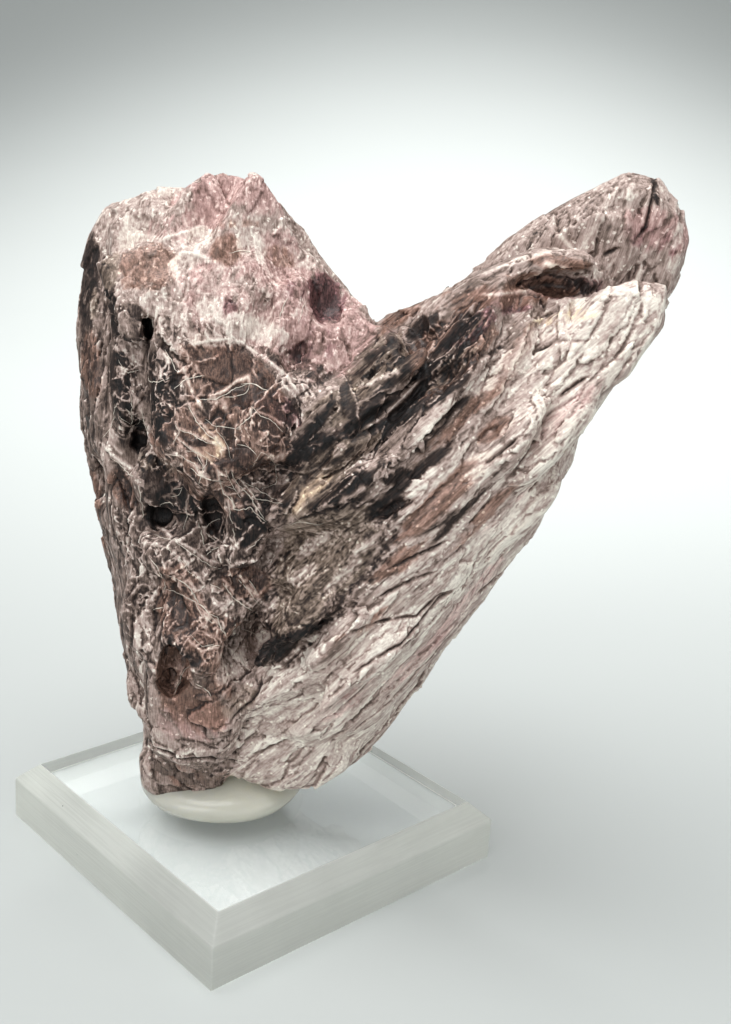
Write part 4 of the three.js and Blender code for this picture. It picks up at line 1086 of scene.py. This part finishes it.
def work_lines(skin, places, paths, height, width, thinning, least, marking):
    """Works lines into the relief and gives how strongly each point is marked by them."""
    mask = np.zeros(len(places))
    for path in paths:
        gap, share = line_distance(places, path)
        taper = np.clip(np.minimum(share, 1 - share) * thinning, least, 1)
        line = np.exp(-(gap / (width * taper)) ** 2)
        skin.height += height * taper * line
        mask = np.maximum(mask, line * (marking[0] + marking[1] * taper))
    return mask


def work_skin(skin, plans):
    """Works the relief and gives the masks: undulation, scales, hollows, cracks, rims and fine crinkles, with
    painted shade in crevices, hollows and cracks and a painted highlight on rims and raised parts.
    """
    points, normals = skin.points, skin.normals
    ragged = 0.5 * soft_noise(points / 1.6, 5) + 0.3 * soft_noise(points / 0.7, 6)
    shifted = points + 1.6 * np.stack([ragged, 0 * ragged, soft_noise(points / 2, 21)], 1)
    zones = zone_of(shifted, normals)
    warped = points + 0.7 * soft_shift(points / 5, (22, 23, 24))
    grain = grain_of(points, zones)
    skin.height += 0.3 * soft_noise(points / 11, 3) + 0.15 * soft_noise(points / 5, 4)
    low, high = points.min(axis=0), points.max(axis=0)
    for plan in plans:
        if np.all(plan[0] + plan[4] > low) and np.all(plan[0] - plan[4] < high):
            skin.lay(plan)
    skin.height -= 0.8 * skin.evened(skin.height, 60)

    # Hollows are cut, and their insides get painted shade.
    painted_hollow_shade = np.zeros(len(points))
    for centre, length, width, lean, depth in HOLLOWS.values():
        r = oval_distance(points, centre, length, width, lean, 9) + 0.4 * ragged
        skin.height -= depth * smooth_step(-r, -1.1, -0.4)
        painted_hollow_shade = np.maximum(painted_hollow_shade, 0.3 * smooth_step(-r, -0.95, -0.5))
    sway = 0.25 * np.stack([ragged, ragged * 0, -ragged], 1)
    # Cracks are cut and get painted shade inside them.
    crack_shade = work_lines(skin, points + sway, CRACKS.values(), *CRACK_LINE)
    # Rims and strands are raised and lightened: pale, with a painted highlight.
    rim_mask = np.maximum(work_lines(skin, points - sway, RIMS.values(), *RIM_LINE),
                          work_lines(skin, points - 0.5 * sway, STRANDS, *STRAND_LINE))

    swirled = points + 1.3 * soft_shift(points / 3, (25, 26, 27))
    net = [smooth_step(-np.abs(streaks(swirled, grain, *drawn)), -0.16, -0.03)
           for drawn in ((4.4, 2.1, 51), (3.0, 1.3, 52))]
    net = np.maximum(*net) * smooth_step(soft_noise(points / 7, 53), -0.35, 0.25)
    seams = smooth_step(-np.abs(streaks(warped, grain, 10, 1.7, 61)), -0.11, -0.02)
    seams *= smooth_step(soft_noise(points / 5, 63), -0.4, 0.2) * zones["right"]
    skin.height -= SEAM_DEPTH * seams
    fibres = smooth_step(streaks(swirled, grain, 2.4, 0.26, 17), 0.2, 0.6)
    fine = streaks(warped, grain, 3.4, 0.38, 8)
    coarse = streaks(warped, grain, 6.0, 1.0, 7)
    grit = soft_noise(points / 0.6, 9) + 0.5 * soft_noise(points / 0.3, 10)
    skin.height += 0.05 * fine + np.where(zones["crinkled"], 0.06, 0.03) * coarse
    skin.height += np.where(zones["granular"], 0.06, 0.02) * grit
    skin.height = skin.evened(skin.height, 1)

    shade, streak, edges, crevice_shade_share, gritty, netted = ground_shades(points, zones, skin.leaf)
    calm = nearest_oval(points, CALM_SPOTS, 10)
    netted *= smooth_step(calm, 0.7, 1.2)
    skin.height += NET_HEIGHT * net * netted
    depth = skin.evened(skin.height, 5) - skin.height
    wide = skin.evened(skin.height, 30) - skin.height
    shade += streak * (0.6 * fine + 0.5 * coarse) + 0.4 * gritty * grit
    # The fine fibres of the crinkled zone are lightened, partly as painted highlight.
    shade[zones["crinkled"]] += (0.3 * fibres - 0.06)[zones["crinkled"]]
    ground = shade.copy()
    hidden = smooth_step(normals[:, 1], -0.1, 0.4)
    far = soft_noise(points / (7, 7, 12), 11)
    extra = {
        "dark": 0.5 * hidden * smooth_step(far, 0.1, 0.6),
        "brown": 0.6 * hidden * smooth_step(-far, 0.0, 0.6),
        "pale": 0.5 * hidden * smooth_step(soft_noise(points / 9, 12), 0, 0.5),
        "pink": 0.6 * hidden * smooth_step(soft_noise(points / 12, 13), 0, 0.5),
    }
    wander = 0.2 * coarse + 0.16 * fine + 0.12 * ragged + 0.3 * (skin.leaf - 0.5)
    masks = {}
    for name, spots in TONES.items():
        rest = np.ones(len(points))
        for centre, length, width, lean, strength in spots:
            r = oval_distance(points, centre, length, width, lean, max(7.0, width)) + 0.3 * ragged
            rest *= 1 - strength * smooth_step(-r, -1.3, -0.6)
        cover = np.maximum(1 - rest, extra.get(name, 0))
        cover = smooth_step(cover + wander * smooth_step(cover, 0.05, 0.3), 0.3, 0.62)
        level = TONE_SHADES[name] + 0.55 * (ground - 0.6)
        if name != "pink":
            shade = shade + (level - shade) * cover
            for other in masks:
                masks[other] = masks[other] * (1 - 0.75 * cover)
        masks[name] = cover
    # Rims, the net of thin edges and the scales' edges are lightened: pale edges with a painted highlight.
    rim = np.clip(np.maximum.reduce([
        0.95 * rim_mask, edges * skin.rim * (0.75 + 0.5 * fine), netted * net * (0.8 + 0.5 * fine)]), 0, 1)
    shade += (RIM_SHADE - shade) * rim
    # Painted shade: crevices, the floors of broad hollows, the lines under raised scale edges, seams, cracks
    # and the insides of hollows are darkened.
    painted_crevice_shade = np.maximum.reduce([
        smooth_step(depth, 0.03, 0.2), 0.55 * smooth_step(wide, 0.12, 0.6),
        0.8 * skin.gap * smooth_step(depth, -0.04, 0.06), 0.7 * seams])
    painted_crevice_shade = np.maximum(painted_crevice_shade * crevice_shade_share, crack_shade)
    shade += (CREVICE_SHADE - shade) * np.clip(0.9 * painted_crevice_shade + painted_hollow_shade, 0, 0.95)
    # Painted light: what stands above its surroundings is lightened.
    shade += 0.08 * smooth_step(-wide, 0.05, 0.4)
    masks = {name: masks[name] * (1 - 0.8 * rim) for name in HUES}
    masks["shade"] = np.clip(shade, 0, 1)
    masks["rim"] = rim
    masks["right_share"] = sum(zones[zone].astype(float) for zone in ("right", "band", "granular", "tip"))
    masks["tip_share"] = zones["tip"].astype(float)
    return masks


def write_masks(mesh, masks):
    for name, values in masks.items():
        layer = mesh.attributes.get(name) or mesh.attributes.new(name, "FLOAT", "POINT")
        layer.data.foreach_set("value", np.asarray(values, np.float32))


def dress(piece, slot, *materials):
    """Gives a finished piece its materials and its body; the slot argument is not used."""
    piece.data.materials.clear()
    for material in materials:
        piece.data.materials.append(material)
    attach(piece, "root")


def rock_parts():
    return [bpy.data.objects[name] for name in BOOK_PARTS]


def rock_tree():
    """The finished rock's surface, for laying strands on it."""
    corners, faces = [], []
    start = 0
    for piece in rock_parts():
        mesh = piece.data
        corners.append(read(mesh.vertices, "co", 3))
        mesh.calc_loop_triangles()
        faces.append(read(mesh.loop_triangles, "vertices", 3, int) + start)
        start += len(mesh.vertices)
    return BVHTree.FromPolygons(np.concatenate(corners).tolist(), np.concatenate(faces).tolist())


def mask_rows(mesh):
    """The masks of a finished part, a row for each point."""
    return np.stack([read(mesh.attributes[name].data, "value", 1) for name in SURFACE_MASKS], 1)


class LEPIDOLITE_OT_mica_books(bpy.types.Operator):
    """Works the four parts of the rock from the specimen's solid"""
    bl_idname = "lepidolite.mica_books"
    bl_label = "Mica books"
    bl_options = {"REGISTER", "UNDO"}

    def execute(self, context):
        settings = context.scene.lepidolite_mica
        material = mica_material(settings)
        form = rock_form()
        plans = scale_plans(Skin(form.data))
        for name, cuts in BOOK_PARTS.items():
            piece = cut_part(form, name, cuts, settings.grid)
            skin = Skin(piece.data)
            masks = work_skin(skin, plans)
            height = skin.height * settings.relief * (0.3 + 0.7 * smooth_step(skin.points[:, 2], 15, 24))
            for (place, normal), side in cuts:
                outward = np.array(Vector(normal).normalized()) * side
                inner = PART_OVERLAP - (skin.points - place) @ outward
                share = smooth_step(inner, 0.2, 1.2)
                height = height * share - (1 - share)
            worked = (skin.points + skin.normals * height[:, None]) * MM
            piece.data.vertices.foreach_set("co", worked.astype(np.float32).ravel())
            write_masks(piece.data, masks)
            ratio = settings.faces / (2 * len(piece.data.polygons))
            if ratio < 1:
                apply_modifier(piece, "DECIMATE", ratio=ratio)
            select_only(piece)
            bpy.ops.object.shade_smooth()
            dress(piece, "lepidolite", material)
            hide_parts("lepidolite")
        bpy.data.objects.remove(form)
        return {"FINISHED"}


class LEPIDOLITE_OT_mica_plates(bpy.types.Operator):
    """Scatters small mica plates that stand off the worked surface"""
    bl_idname = "lepidolite.mica_plates"
    bl_label = "Small plates"
    bl_options = {"REGISTER", "UNDO"}

    def execute(self, context):
        settings = context.scene.lepidolite_flakes
        random = np.random.default_rng(7)
        corners, faces = plate_pattern()
        rows = np.concatenate([mask_rows(part.data) for part in rock_parts()])
        points = np.concatenate([read(part.data.vertices, "co", 3) for part in rock_parts()])
        normals = np.concatenate([read(part.data.vertices, "normal", 3) for part in rock_parts()])
        rim, right_share, shade = (SURFACE_MASKS.index(name) for name in ("rim", "right_share", "shade"))
        seats = np.flatnonzero((rows[:, rim] > 0.25) & (points[:, 2] > 0.03))
        chosen = random.choice(seats, settings.plates, replace=False)
        all_corners, all_faces, all_rows = [], [], []
        for index in chosen:
            out = normals[index]
            right = rows[index, right_share] > 0.5
            line = np.array(ARM_DIRECTION if right else UPRIGHT) + 0.5 * random.normal(size=3)
            line = unit(line - out * (line @ out))
            side = np.cross(out, line)
            tilt = random.uniform(-0.3, 0.3)
            lifted = out * math.cos(tilt) - side * math.sin(tilt)
            side = side * math.cos(tilt) + out * math.sin(tilt)
            length = settings.plate_size * random.uniform(0.45, 1.5)
            width = length * random.uniform(0.3, 0.7)
            thick = random.uniform(0.00008, 0.0002)
            ragged = np.clip(1 + 0.25 * random.normal(size=(len(corners), 1)), 0.6, 1.4)
            local = corners.copy()
            local[:, :2] = local[:, :2] * ragged[np.arange(len(corners)) % (len(corners) // 2)]
            placed = (points[index] - out * 0.0001 + local[:, :1] * length * line
                      + local[:, 1:2] * width * side + local[:, 2:] * thick * lifted)
            all_faces.extend([tuple(v + len(all_corners) * len(corners) for v in f) for f in faces])
            all_corners.append(placed)
            row = rows[index].copy()
            row[shade] = np.clip(row[shade] + random.uniform(-0.25, 0.0), 0.1, 0.9)
            all_rows.append(np.repeat(row[None], len(corners), 0))
        piece = new_piece("mica_plates", np.concatenate(all_corners), all_faces)
        write_masks(piece.data, dict(zip(SURFACE_MASKS, np.concatenate(all_rows).T)))
        dress(piece, "lepidolite", mica_material(context.scene.lepidolite_mica))
        return {"FINISHED"}


def plate_pattern():
    """One seven-sided plate with slanting edges, its corners and faces."""
    select_nothing()
    bpy.ops.mesh.primitive_circle_add(vertices=7, radius=1, fill_type="NGON")
    pattern = bpy.context.active_object
    bpy.ops.object.mode_set(mode="EDIT")
    bpy.ops.mesh.select_all(action="SELECT")
    bpy.ops.mesh.extrude_region_move(TRANSFORM_OT_translate={"value": (0, 0, 1)})
    bpy.ops.transform.resize(value=(0.9, 0.9, 1))
    bpy.ops.mesh.select_all(action="SELECT")
    bpy.ops.mesh.normals_make_consistent(inside=False)
    bpy.ops.object.mode_set(mode="OBJECT")
    corners = read(pattern.data.vertices, "co", 3) - (0, 0, 0.5)
    faces = [tuple(p.vertices) for p in pattern.data.polygons]
    bpy.data.objects.remove(pattern)
    return corners, faces


def new_piece(name, corners, faces):
    mesh = bpy.data.meshes.new(name)
    mesh.from_pydata(np.asarray(corners).tolist(), [], faces)
    mesh.update()
    piece = bpy.data.objects.new(name, mesh)
    bpy.context.scene.collection.objects.link(piece)
    return piece


def strand_material(settings):
    material, tree, shader = new_material("Bright sheet edges")
    # The strands' pale colour is partly their own and partly a painted highlight, the light that thin sheet
    # edges catch.
    value = use_group(tree, "Mottle", {"Size": 500.0, "Low": 0.45, "High": 1.15})["Value"]
    tree.links.new(scaled_colour(tree, settings.strand_colour, value), shader.inputs["Base Color"])
    glints = use_group(tree, "Glints", {"Size": 2600.0, "Share": 0.2})["Glints"]
    rough = spread_value(tree, glints, 0.0, 1.0, 0.45, 0.2)
    tree.links.new(rough, shader.inputs["Roughness"])
    return material


class LEPIDOLITE_OT_mica_strands(bpy.types.Operator):
    """Lays thin bright sheet edges on the left book"""
    bl_idname = "lepidolite.mica_strands"
    bl_label = "Bright strands"
    bl_options = {"REGISTER", "UNDO"}

    def execute(self, context):
        settings = context.scene.lepidolite_flakes
        random = np.random.default_rng(19)
        tree = rock_tree()
        paths = [even_path(np.array(path, float) * MM, random, 0.00016) for path in STRANDS]
        for _ in range(settings.strands):
            paths.append(wandering_path(random))
        curve = bpy.data.curves.new("strands", "CURVE")
        curve.dimensions = "3D"
        curve.bevel_depth = settings.strand_width
        curve.bevel_resolution = 0
        curve.use_fill_caps = True
        for path in paths:
            laid = laid_on(tree, path)
            if len(laid) < SHORTEST_STRAND:
                continue
            spline = curve.splines.new("POLY")
            spline.points.add(len(laid) - 1)
            swell = random.uniform(0.6, 1.35)
            for i, (point, place) in enumerate(zip(spline.points, laid)):
                share = i / (len(laid) - 1)
                point.co = (*place, 1)
                belly = 0.3 + 0.9 * math.sin(math.pi * share) ** 0.6
                point.radius = swell * belly * random.uniform(0.6, 1.3)
        holder = bpy.data.objects.new("mica_strands", curve)
        context.scene.collection.objects.link(holder)
        select_only(holder)
        bpy.ops.object.convert(target="MESH")
        piece = context.active_object
        piece.name = "mica_strands"
        bpy.ops.object.shade_smooth()
        dress(piece, "lepidolite", strand_material(settings))
        return {"FINISHED"}


def even_path(corners, random, wander):
    """A path with a point about every half millimetre that wanders a little."""
    lengths = np.r_[0, np.cumsum(np.linalg.norm(np.diff(corners, axis=0), axis=1))]
    count = max(5, int(lengths[-1] / 0.0005))
    at = np.linspace(0, lengths[-1], count)
    path = np.stack([np.interp(at, lengths, column) for column in corners.T], 1)
    drift = np.cumsum(random.normal(size=(count, 3)), axis=0) * wander * 0.5
    drift -= np.linspace(0, 1, count)[:, None] * drift[-1]
    return path + drift * (1, 0, 1) + random.normal(size=(count, 3)) * (wander * 0.3, 0, wander * 0.3)


def wandering_path(random):
    """A short random strand over the middle of the left book."""
    centre = np.array(STRAND_FIELDS[random.integers(len(STRAND_FIELDS))])
    start = centre[:3] + random.normal(size=3) * (centre[3], 0, centre[3])
    angle = math.radians(random.choice((-50, -50, -40, -75, 20)) + random.normal() * 15)
    count = int(random.uniform(6, 18))
    angles = angle + np.cumsum(random.normal(size=count)) * 0.2
    steps = np.stack([np.cos(angles), np.zeros(count), np.sin(angles)], 1) * 0.5
    return (start + np.cumsum(steps, axis=0)) * MM


def laid_on(tree, path):
    """The path's points brought onto the rock, as seen from the front."""
    laid = []
    for place in path:
        start = Vector((place[0], -0.06, place[2] + 0.012))
        hit, normal, _, _ = tree.ray_cast(start, Vector((0, 0.956, -0.293)))
        if hit is None:
            hit, normal, _, _ = tree.find_nearest(Vector(place))
        if laid and (hit - laid[-1]).length > 0.0022:
            break
        laid.append(hit + normal * 0.00001)
    return laid


class LEPIDOLITE_OT_putty_bead(bpy.types.Operator):
    """Shapes the bead of clear putty under the rock"""
    bl_idname = "lepidolite.putty_bead"
    bl_label = "Putty bead"
    bl_options = {"REGISTER", "UNDO"}

    def execute(self, context):
        settings = context.scene.lepidolite_putty
        low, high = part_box("putty")
        centre, size = (low + high) / 2, high - low
        select_nothing()
        bpy.ops.mesh.primitive_uv_sphere_add(segments=64, ring_count=32, radius=1)
        piece = context.active_object
        piece.name = "putty_bead"
        bpy.ops.object.mode_set(mode="EDIT")
        bpy.ops.mesh.select_all(action="SELECT")
        bpy.ops.transform.resize(value=(size.x / 2, size.y / 2, size.z * 0.86))
        bpy.ops.transform.translate(value=(centre.x, centre.y, low.z + size.z * 0.36))
        bpy.ops.mesh.select_all(action="SELECT")
        bpy.ops.mesh.bisect(plane_co=(0, 0, low.z), plane_no=(0, 0, -1), use_fill=True, clear_outer=True)
        bpy.ops.object.mode_set(mode="OBJECT")
        points = read(piece.data.vertices, "co", 3) / MM
        middle = np.array(centre) / MM
        turn = np.arctan2(points[:, 1] - middle[1], points[:, 0] - middle[0])
        wobble = 1 + 0.018 * np.sin(2 * turn + 0.6) + 0.012 * np.sin(5 * turn)
        wobble = wobble + 0.01 * soft_noise(points / 6, 31)
        points[:, :2] = middle[:2] + (points[:, :2] - middle[:2]) * wobble[:, None]
        foot = low.z / MM
        points[:, 2] += 0.25 * soft_noise(points / 5, 32) * smooth_step(points[:, 2], foot, foot + 3)
        piece.data.vertices.foreach_set("co", (points * MM).astype(np.float32).ravel())
        apply_modifier(piece, "BEVEL", width=0.0004, segments=3, limit_method="ANGLE")
        apply_modifier(piece, "SUBSURF", render_levels=1, levels=1)
        bpy.ops.object.shade_smooth()
        dress(piece, "putty", putty_material(settings))
        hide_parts("putty")
        return {"FINISHED"}


def putty_material(settings):
    """Milky soft putty that lets some light through."""
    material, tree, shader = new_material("Milky putty")
    value = use_group(tree, "Mottle", {"Size": 90.0, "Low": 0.94, "High": 1.04})["Value"]
    tree.links.new(scaled_colour(tree, settings.colour, value), shader.inputs["Base Color"])
    rough = spread_value(tree, value, 0.94, 1.04, 0.1, 0.22)
    tree.links.new(rough, shader.inputs["Roughness"])
    feed(tree, shader, Transmission_Weight=settings.clearness, IOR=PUTTY_IOR, Subsurface_Weight=0.5,
         Subsurface_Radius=(1.0, 0.95, 0.8), Subsurface_Scale=0.004)
    fine = use_group(tree, "Mottle", {"Size": 500.0, "Low": 0.0, "High": 1.0})["Value"]
    bump = add_node(tree, "ShaderNodeBump", {"Strength": 0.15, "Distance": 0.0003, "Height": fine}).outputs[0]
    tree.links.new(bump, shader.inputs["Normal"])
    return material


class LEPIDOLITE_OT_acrylic_base(bpy.types.Operator):
    """Builds the square acrylic base with its bevelled top edge"""
    bl_idname = "lepidolite.acrylic_base"
    bl_label = "Acrylic base"
    bl_options = {"REGISTER", "UNDO"}

    def execute(self, context):
        settings = context.scene.lepidolite_acrylic
        low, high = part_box("acrylic_base")
        side = (high.x - low.x) / math.sqrt(2)
        height = high.z - low.z
        bevel = BASE_BEVEL * MM
        select_nothing()
        bpy.ops.mesh.primitive_cube_add(size=1)
        piece = context.active_object
        piece.name = "display_base"
        bpy.ops.object.mode_set(mode="EDIT")
        bpy.ops.mesh.select_all(action="SELECT")
        bpy.ops.transform.resize(value=(side, side, height - bevel))
        bpy.ops.transform.translate(value=(0, 0, low.z + (height - bevel) / 2))
        select_faces(piece, lambda face: face.normal.z > 0.9)
        bpy.ops.mesh.extrude_region_move(TRANSFORM_OT_translate={"value": (0, 0, bevel)})
        share = 1 - 2 * bevel / side
        bpy.ops.transform.resize(value=(share, share, 1))
        bpy.ops.mesh.select_all(action="SELECT")
        bpy.ops.transform.rotate(value=math.radians(45), orient_axis="Z", center_override=(0, 0, 0))
        bpy.ops.object.mode_set(mode="OBJECT")
        apply_modifier(piece, "BEVEL", width=settings.edge, segments=3, limit_method="ANGLE")
        bpy.ops.object.shade_flat()
        dress(piece, "acrylic", polished_acrylic(settings), sanded_acrylic(settings))
        for face in piece.data.polygons:
            face.material_index = int(abs(face.normal.z) < 0.97)
        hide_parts("acrylic_base")
        return {"FINISHED"}


def select_faces(piece, wanted):
    """In edit mode, selects only the faces that a test wants."""
    bpy.ops.mesh.select_mode(type="FACE")
    bpy.ops.mesh.select_all(action="DESELECT")
    bpy.ops.object.mode_set(mode="OBJECT")
    for face in piece.data.polygons:
        face.select = bool(wanted(face))
    bpy.ops.object.mode_set(mode="EDIT")


def polished_acrylic(settings):
    """Clear acrylic with a few fine specks and wiping marks."""
    material, tree, shader = new_material("Polished acrylic")
    feed(tree, shader, Transmission_Weight=1.0, IOR=ACRYLIC_IOR)
    value = use_group(tree, "Mottle", {"Size": 30.0, "Low": 0.97, "High": 1.0})["Value"]
    tree.links.new(scaled_colour(tree, settings.clear, value), shader.inputs["Base Color"])
    rough = spread_value(tree, value, 0.97, 1.0, 0.03, 0.0)
    tree.links.new(rough, shader.inputs["Roughness"])
    let_light_through(tree, shader, POLISHED_SHADOW_SHARE)
    return material


def sanded_acrylic(settings):
    """Sawn and sanded sides: pale, hazy, with faint lines along them and cloudy patches."""
    material, tree, shader = new_material("Sanded acrylic")
    saw = use_group(tree, "Fibre lines", {"Stretch": (60, 60, 2600), "Detail": 2.0})["Lines"]
    cloud = use_group(tree, "Mottle", {"Size": 55.0, "Low": 0.93, "High": 1.05})["Value"]
    tone = scaled_colour(tree, settings.frost, cloud)
    tone = scaled_colour(tree, tone, spread_value(tree, saw, 0.0, 1.0, 0.96, 1.02))
    specks = use_group(tree, "Glints", {"Size": 2600.0, "Share": 0.0001})["Glints"]
    tone = mixed(tree, specks, tone, (0.12, 0.12, 0.11))
    tree.links.new(tone, shader.inputs["Base Color"])
    roughness = settings.frost_roughness
    rough = spread_value(tree, cloud, 0.93, 1.05, roughness - 0.08, roughness + 0.06)
    tree.links.new(rough, shader.inputs["Roughness"])
    feed(tree, shader, Transmission_Weight=0.6, IOR=ACRYLIC_IOR)
    bump = add_node(tree, "ShaderNodeBump", {"Strength": 0.2, "Distance": 0.0001, "Height": saw}).outputs[0]
    tree.links.new(bump, shader.inputs["Normal"])
    let_light_through(tree, shader, SANDED_SHADOW_SHARE)
    return material


def let_light_through(tree, shader, share):
    """Lets a share of the light pass straight through to what stands under or behind."""
    clear = add_node(tree, "ShaderNodeBsdfTransparent").outputs[0]
    shadow = add_node(tree, "ShaderNodeLightPath").outputs["Is Shadow Ray"]
    passing = maths(tree, "MULTIPLY", shadow, share)
    both = add_node(tree, "ShaderNodeMixShader", {0: passing, 1: shader.outputs[0], 2: clear}).outputs[0]
    output = next(node for node in tree.nodes if node.type == "OUTPUT_MATERIAL")
    tree.links.new(both, output.inputs["Surface"])


class LEPIDOLITE_OT_stage(bpy.types.Operator):
    """Sets the camera, the pale floor with its backdrop, and the soft lights"""
    bl_idname = "lepidolite.stage"
    bl_label = "Camera, floor and light"
    bl_options = {"REGISTER", "UNDO"}

    def execute(self, context):
        settings = context.scene.lepidolite_stage
        scene = context.scene
        camera = bpy.data.objects.new("camera", bpy.data.cameras.new("camera"))
        scene.collection.objects.link(camera)
        camera.data.lens = settings.lens
        camera.data.sensor_width = 36
        camera.data.clip_start = 0.01
        camera.matrix_world = view_matrix()
        scene.camera = camera

        select_nothing()
        bpy.ops.mesh.primitive_plane_add(size=2.4, location=(0, 0, 0))
        floor = context.active_object
        floor.name = "floor"
        bpy.ops.object.mode_set(mode="EDIT")
        bpy.ops.mesh.select_all(action="SELECT")
        bpy.ops.transform.translate(value=(0, 0, -FLOOR_GAP))
        bpy.ops.mesh.select_mode(type="EDGE")
        bpy.ops.mesh.select_all(action="DESELECT")
        bpy.ops.object.mode_set(mode="OBJECT")
        for edge in floor.data.edges:
            edge.select = all(floor.data.vertices[v].co.y > 1 for v in edge.vertices)
        bpy.ops.object.mode_set(mode="EDIT")
        bpy.ops.mesh.extrude_region_move(TRANSFORM_OT_translate={"value": (0, 0.25, 2.0)})
        bpy.ops.object.mode_set(mode="OBJECT")
        apply_modifier(floor, "BEVEL", width=0.7, segments=16, limit_method="ANGLE")
        bpy.ops.object.shade_smooth()
        floor.data.materials.append(floor_material(settings))

        world = bpy.data.worlds.new("tent")
        scene.world = world
        world.use_nodes = True
        background = world.node_tree.nodes["Background"]
        background.inputs["Color"].default_value = (0.93, 0.96, 0.97, 1)
        background.inputs["Strength"].default_value = settings.sky
        add_light("key light", (-0.12, -0.1, 0.85), (0.01, 0.0, 0.08), 0.7, settings.key)
        add_light("front light", (-0.35, -0.75, 0.45), (0.01, 0.0, 0.08), 0.6, settings.fill)
        add_light("side light", (0.85, -0.35, 0.3), (0.01, 0.0, 0.07), 0.6, settings.side)
        pool = bpy.data.objects.new("backdrop light", bpy.data.lights.new("backdrop light", "SPOT"))
        scene.collection.objects.link(pool)
        pool.data.energy = settings.pool
        pool.data.spot_size, pool.data.spot_blend = math.radians(60), 1.0
        pool.data.shadow_soft_size = 0.1
        pool.location = (0.06, 0.58, 1.15)
        scene.view_settings.view_transform = "Standard"
        scene.view_settings.look = "None"
        return {"FINISHED"}


def view_matrix():
    """The camera's place and turn, fitted to the edges of the base."""
    yaw, pitch, roll = CAMERA_YAW, CAMERA_PITCH, CAMERA_ROLL
    back = Vector((math.sin(yaw) * math.cos(pitch), -math.cos(yaw) * math.cos(pitch), math.sin(pitch)))
    right = Vector((math.cos(yaw), math.sin(yaw), 0))
    up = back.cross(right)
    level, rise = right * math.cos(roll) + up * math.sin(roll), up * math.cos(roll) - right * math.sin(roll)
    matrix = Matrix((level, rise, back)).transposed().to_4x4()
    matrix.translation = Vector(CAMERA_PLACE) * MM
    return matrix


def add_light(name, place, target, size, power):
    light = bpy.data.lights.new(name, "AREA")
    light.shape = "DISK"
    light.size = size
    light.energy = power
    holder = bpy.data.objects.new(name, light)
    bpy.context.scene.collection.objects.link(holder)
    holder.location = place
    holder.rotation_euler = (Vector(place) - Vector(target)).to_track_quat("Z", "Y").to_euler()


def floor_material(settings):
    material, tree, shader = new_material("Pale floor")
    value = use_group(tree, "Mottle", {"Size": 3.0, "Low": 0.985, "High": 1.0})["Value"]
    tree.links.new(scaled_colour(tree, settings.floor, value), shader.inputs["Base Color"])
    shader.inputs["Roughness"].default_value = 0.6
    return material


class LEPIDOLITE_PT_panel(bpy.types.Panel):
    """Lists the specimen's sizes, colours and pieces"""
    bl_idname = "LEPIDOLITE_PT_panel"
    bl_label = "Lepidolite Specimen"
    bl_space_type = "VIEW_3D"
    bl_region_type = "UI"
    bl_category = "Lepidolite"

    def draw(self, context):
        for (group, kind), operators in zip(SETTINGS.items(), PANEL_OPERATORS):
            box = self.layout.box()
            for name in kind.__annotations__:
                box.prop(getattr(context.scene, group), name)
            for operator in operators:
                box.operator(operator.bl_idname)


OPERATORS = (
    LEPIDOLITE_OT_stage,
    LEPIDOLITE_OT_mica_books,
    LEPIDOLITE_OT_mica_plates,
    LEPIDOLITE_OT_mica_strands,
    LEPIDOLITE_OT_putty_bead,
    LEPIDOLITE_OT_acrylic_base,
)
PANEL_OPERATORS = (
    (LEPIDOLITE_OT_mica_books,),
    (LEPIDOLITE_OT_mica_plates, LEPIDOLITE_OT_mica_strands),
    (LEPIDOLITE_OT_putty_bead,),
    (LEPIDOLITE_OT_acrylic_base,),
    (LEPIDOLITE_OT_stage,),
)


def register():
    for kind in (*SETTINGS.values(), *OPERATORS, LEPIDOLITE_PT_panel):
        bpy.utils.register_class(kind)
    for name, kind in SETTINGS.items():
        setattr(bpy.types.Scene, name, bpy.props.PointerProperty(type=kind))


def unregister():
    for name in SETTINGS:
        delattr(bpy.types.Scene, name)
    for kind in reversed((*SETTINGS.values(), *OPERATORS, LEPIDOLITE_PT_panel)):
        bpy.utils.unregister_class(kind)


def main():
    """Registers the add-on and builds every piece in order."""
    register()
    build_groups()
    bpy.ops.lepidolite.stage()
    bpy.ops.lepidolite.mica_books()
    bpy.ops.lepidolite.mica_plates()
    bpy.ops.lepidolite.mica_strands()
    bpy.ops.lepidolite.putty_bead()
    bpy.ops.lepidolite.acrylic_base()


if __name__ == "__main__":
    main()
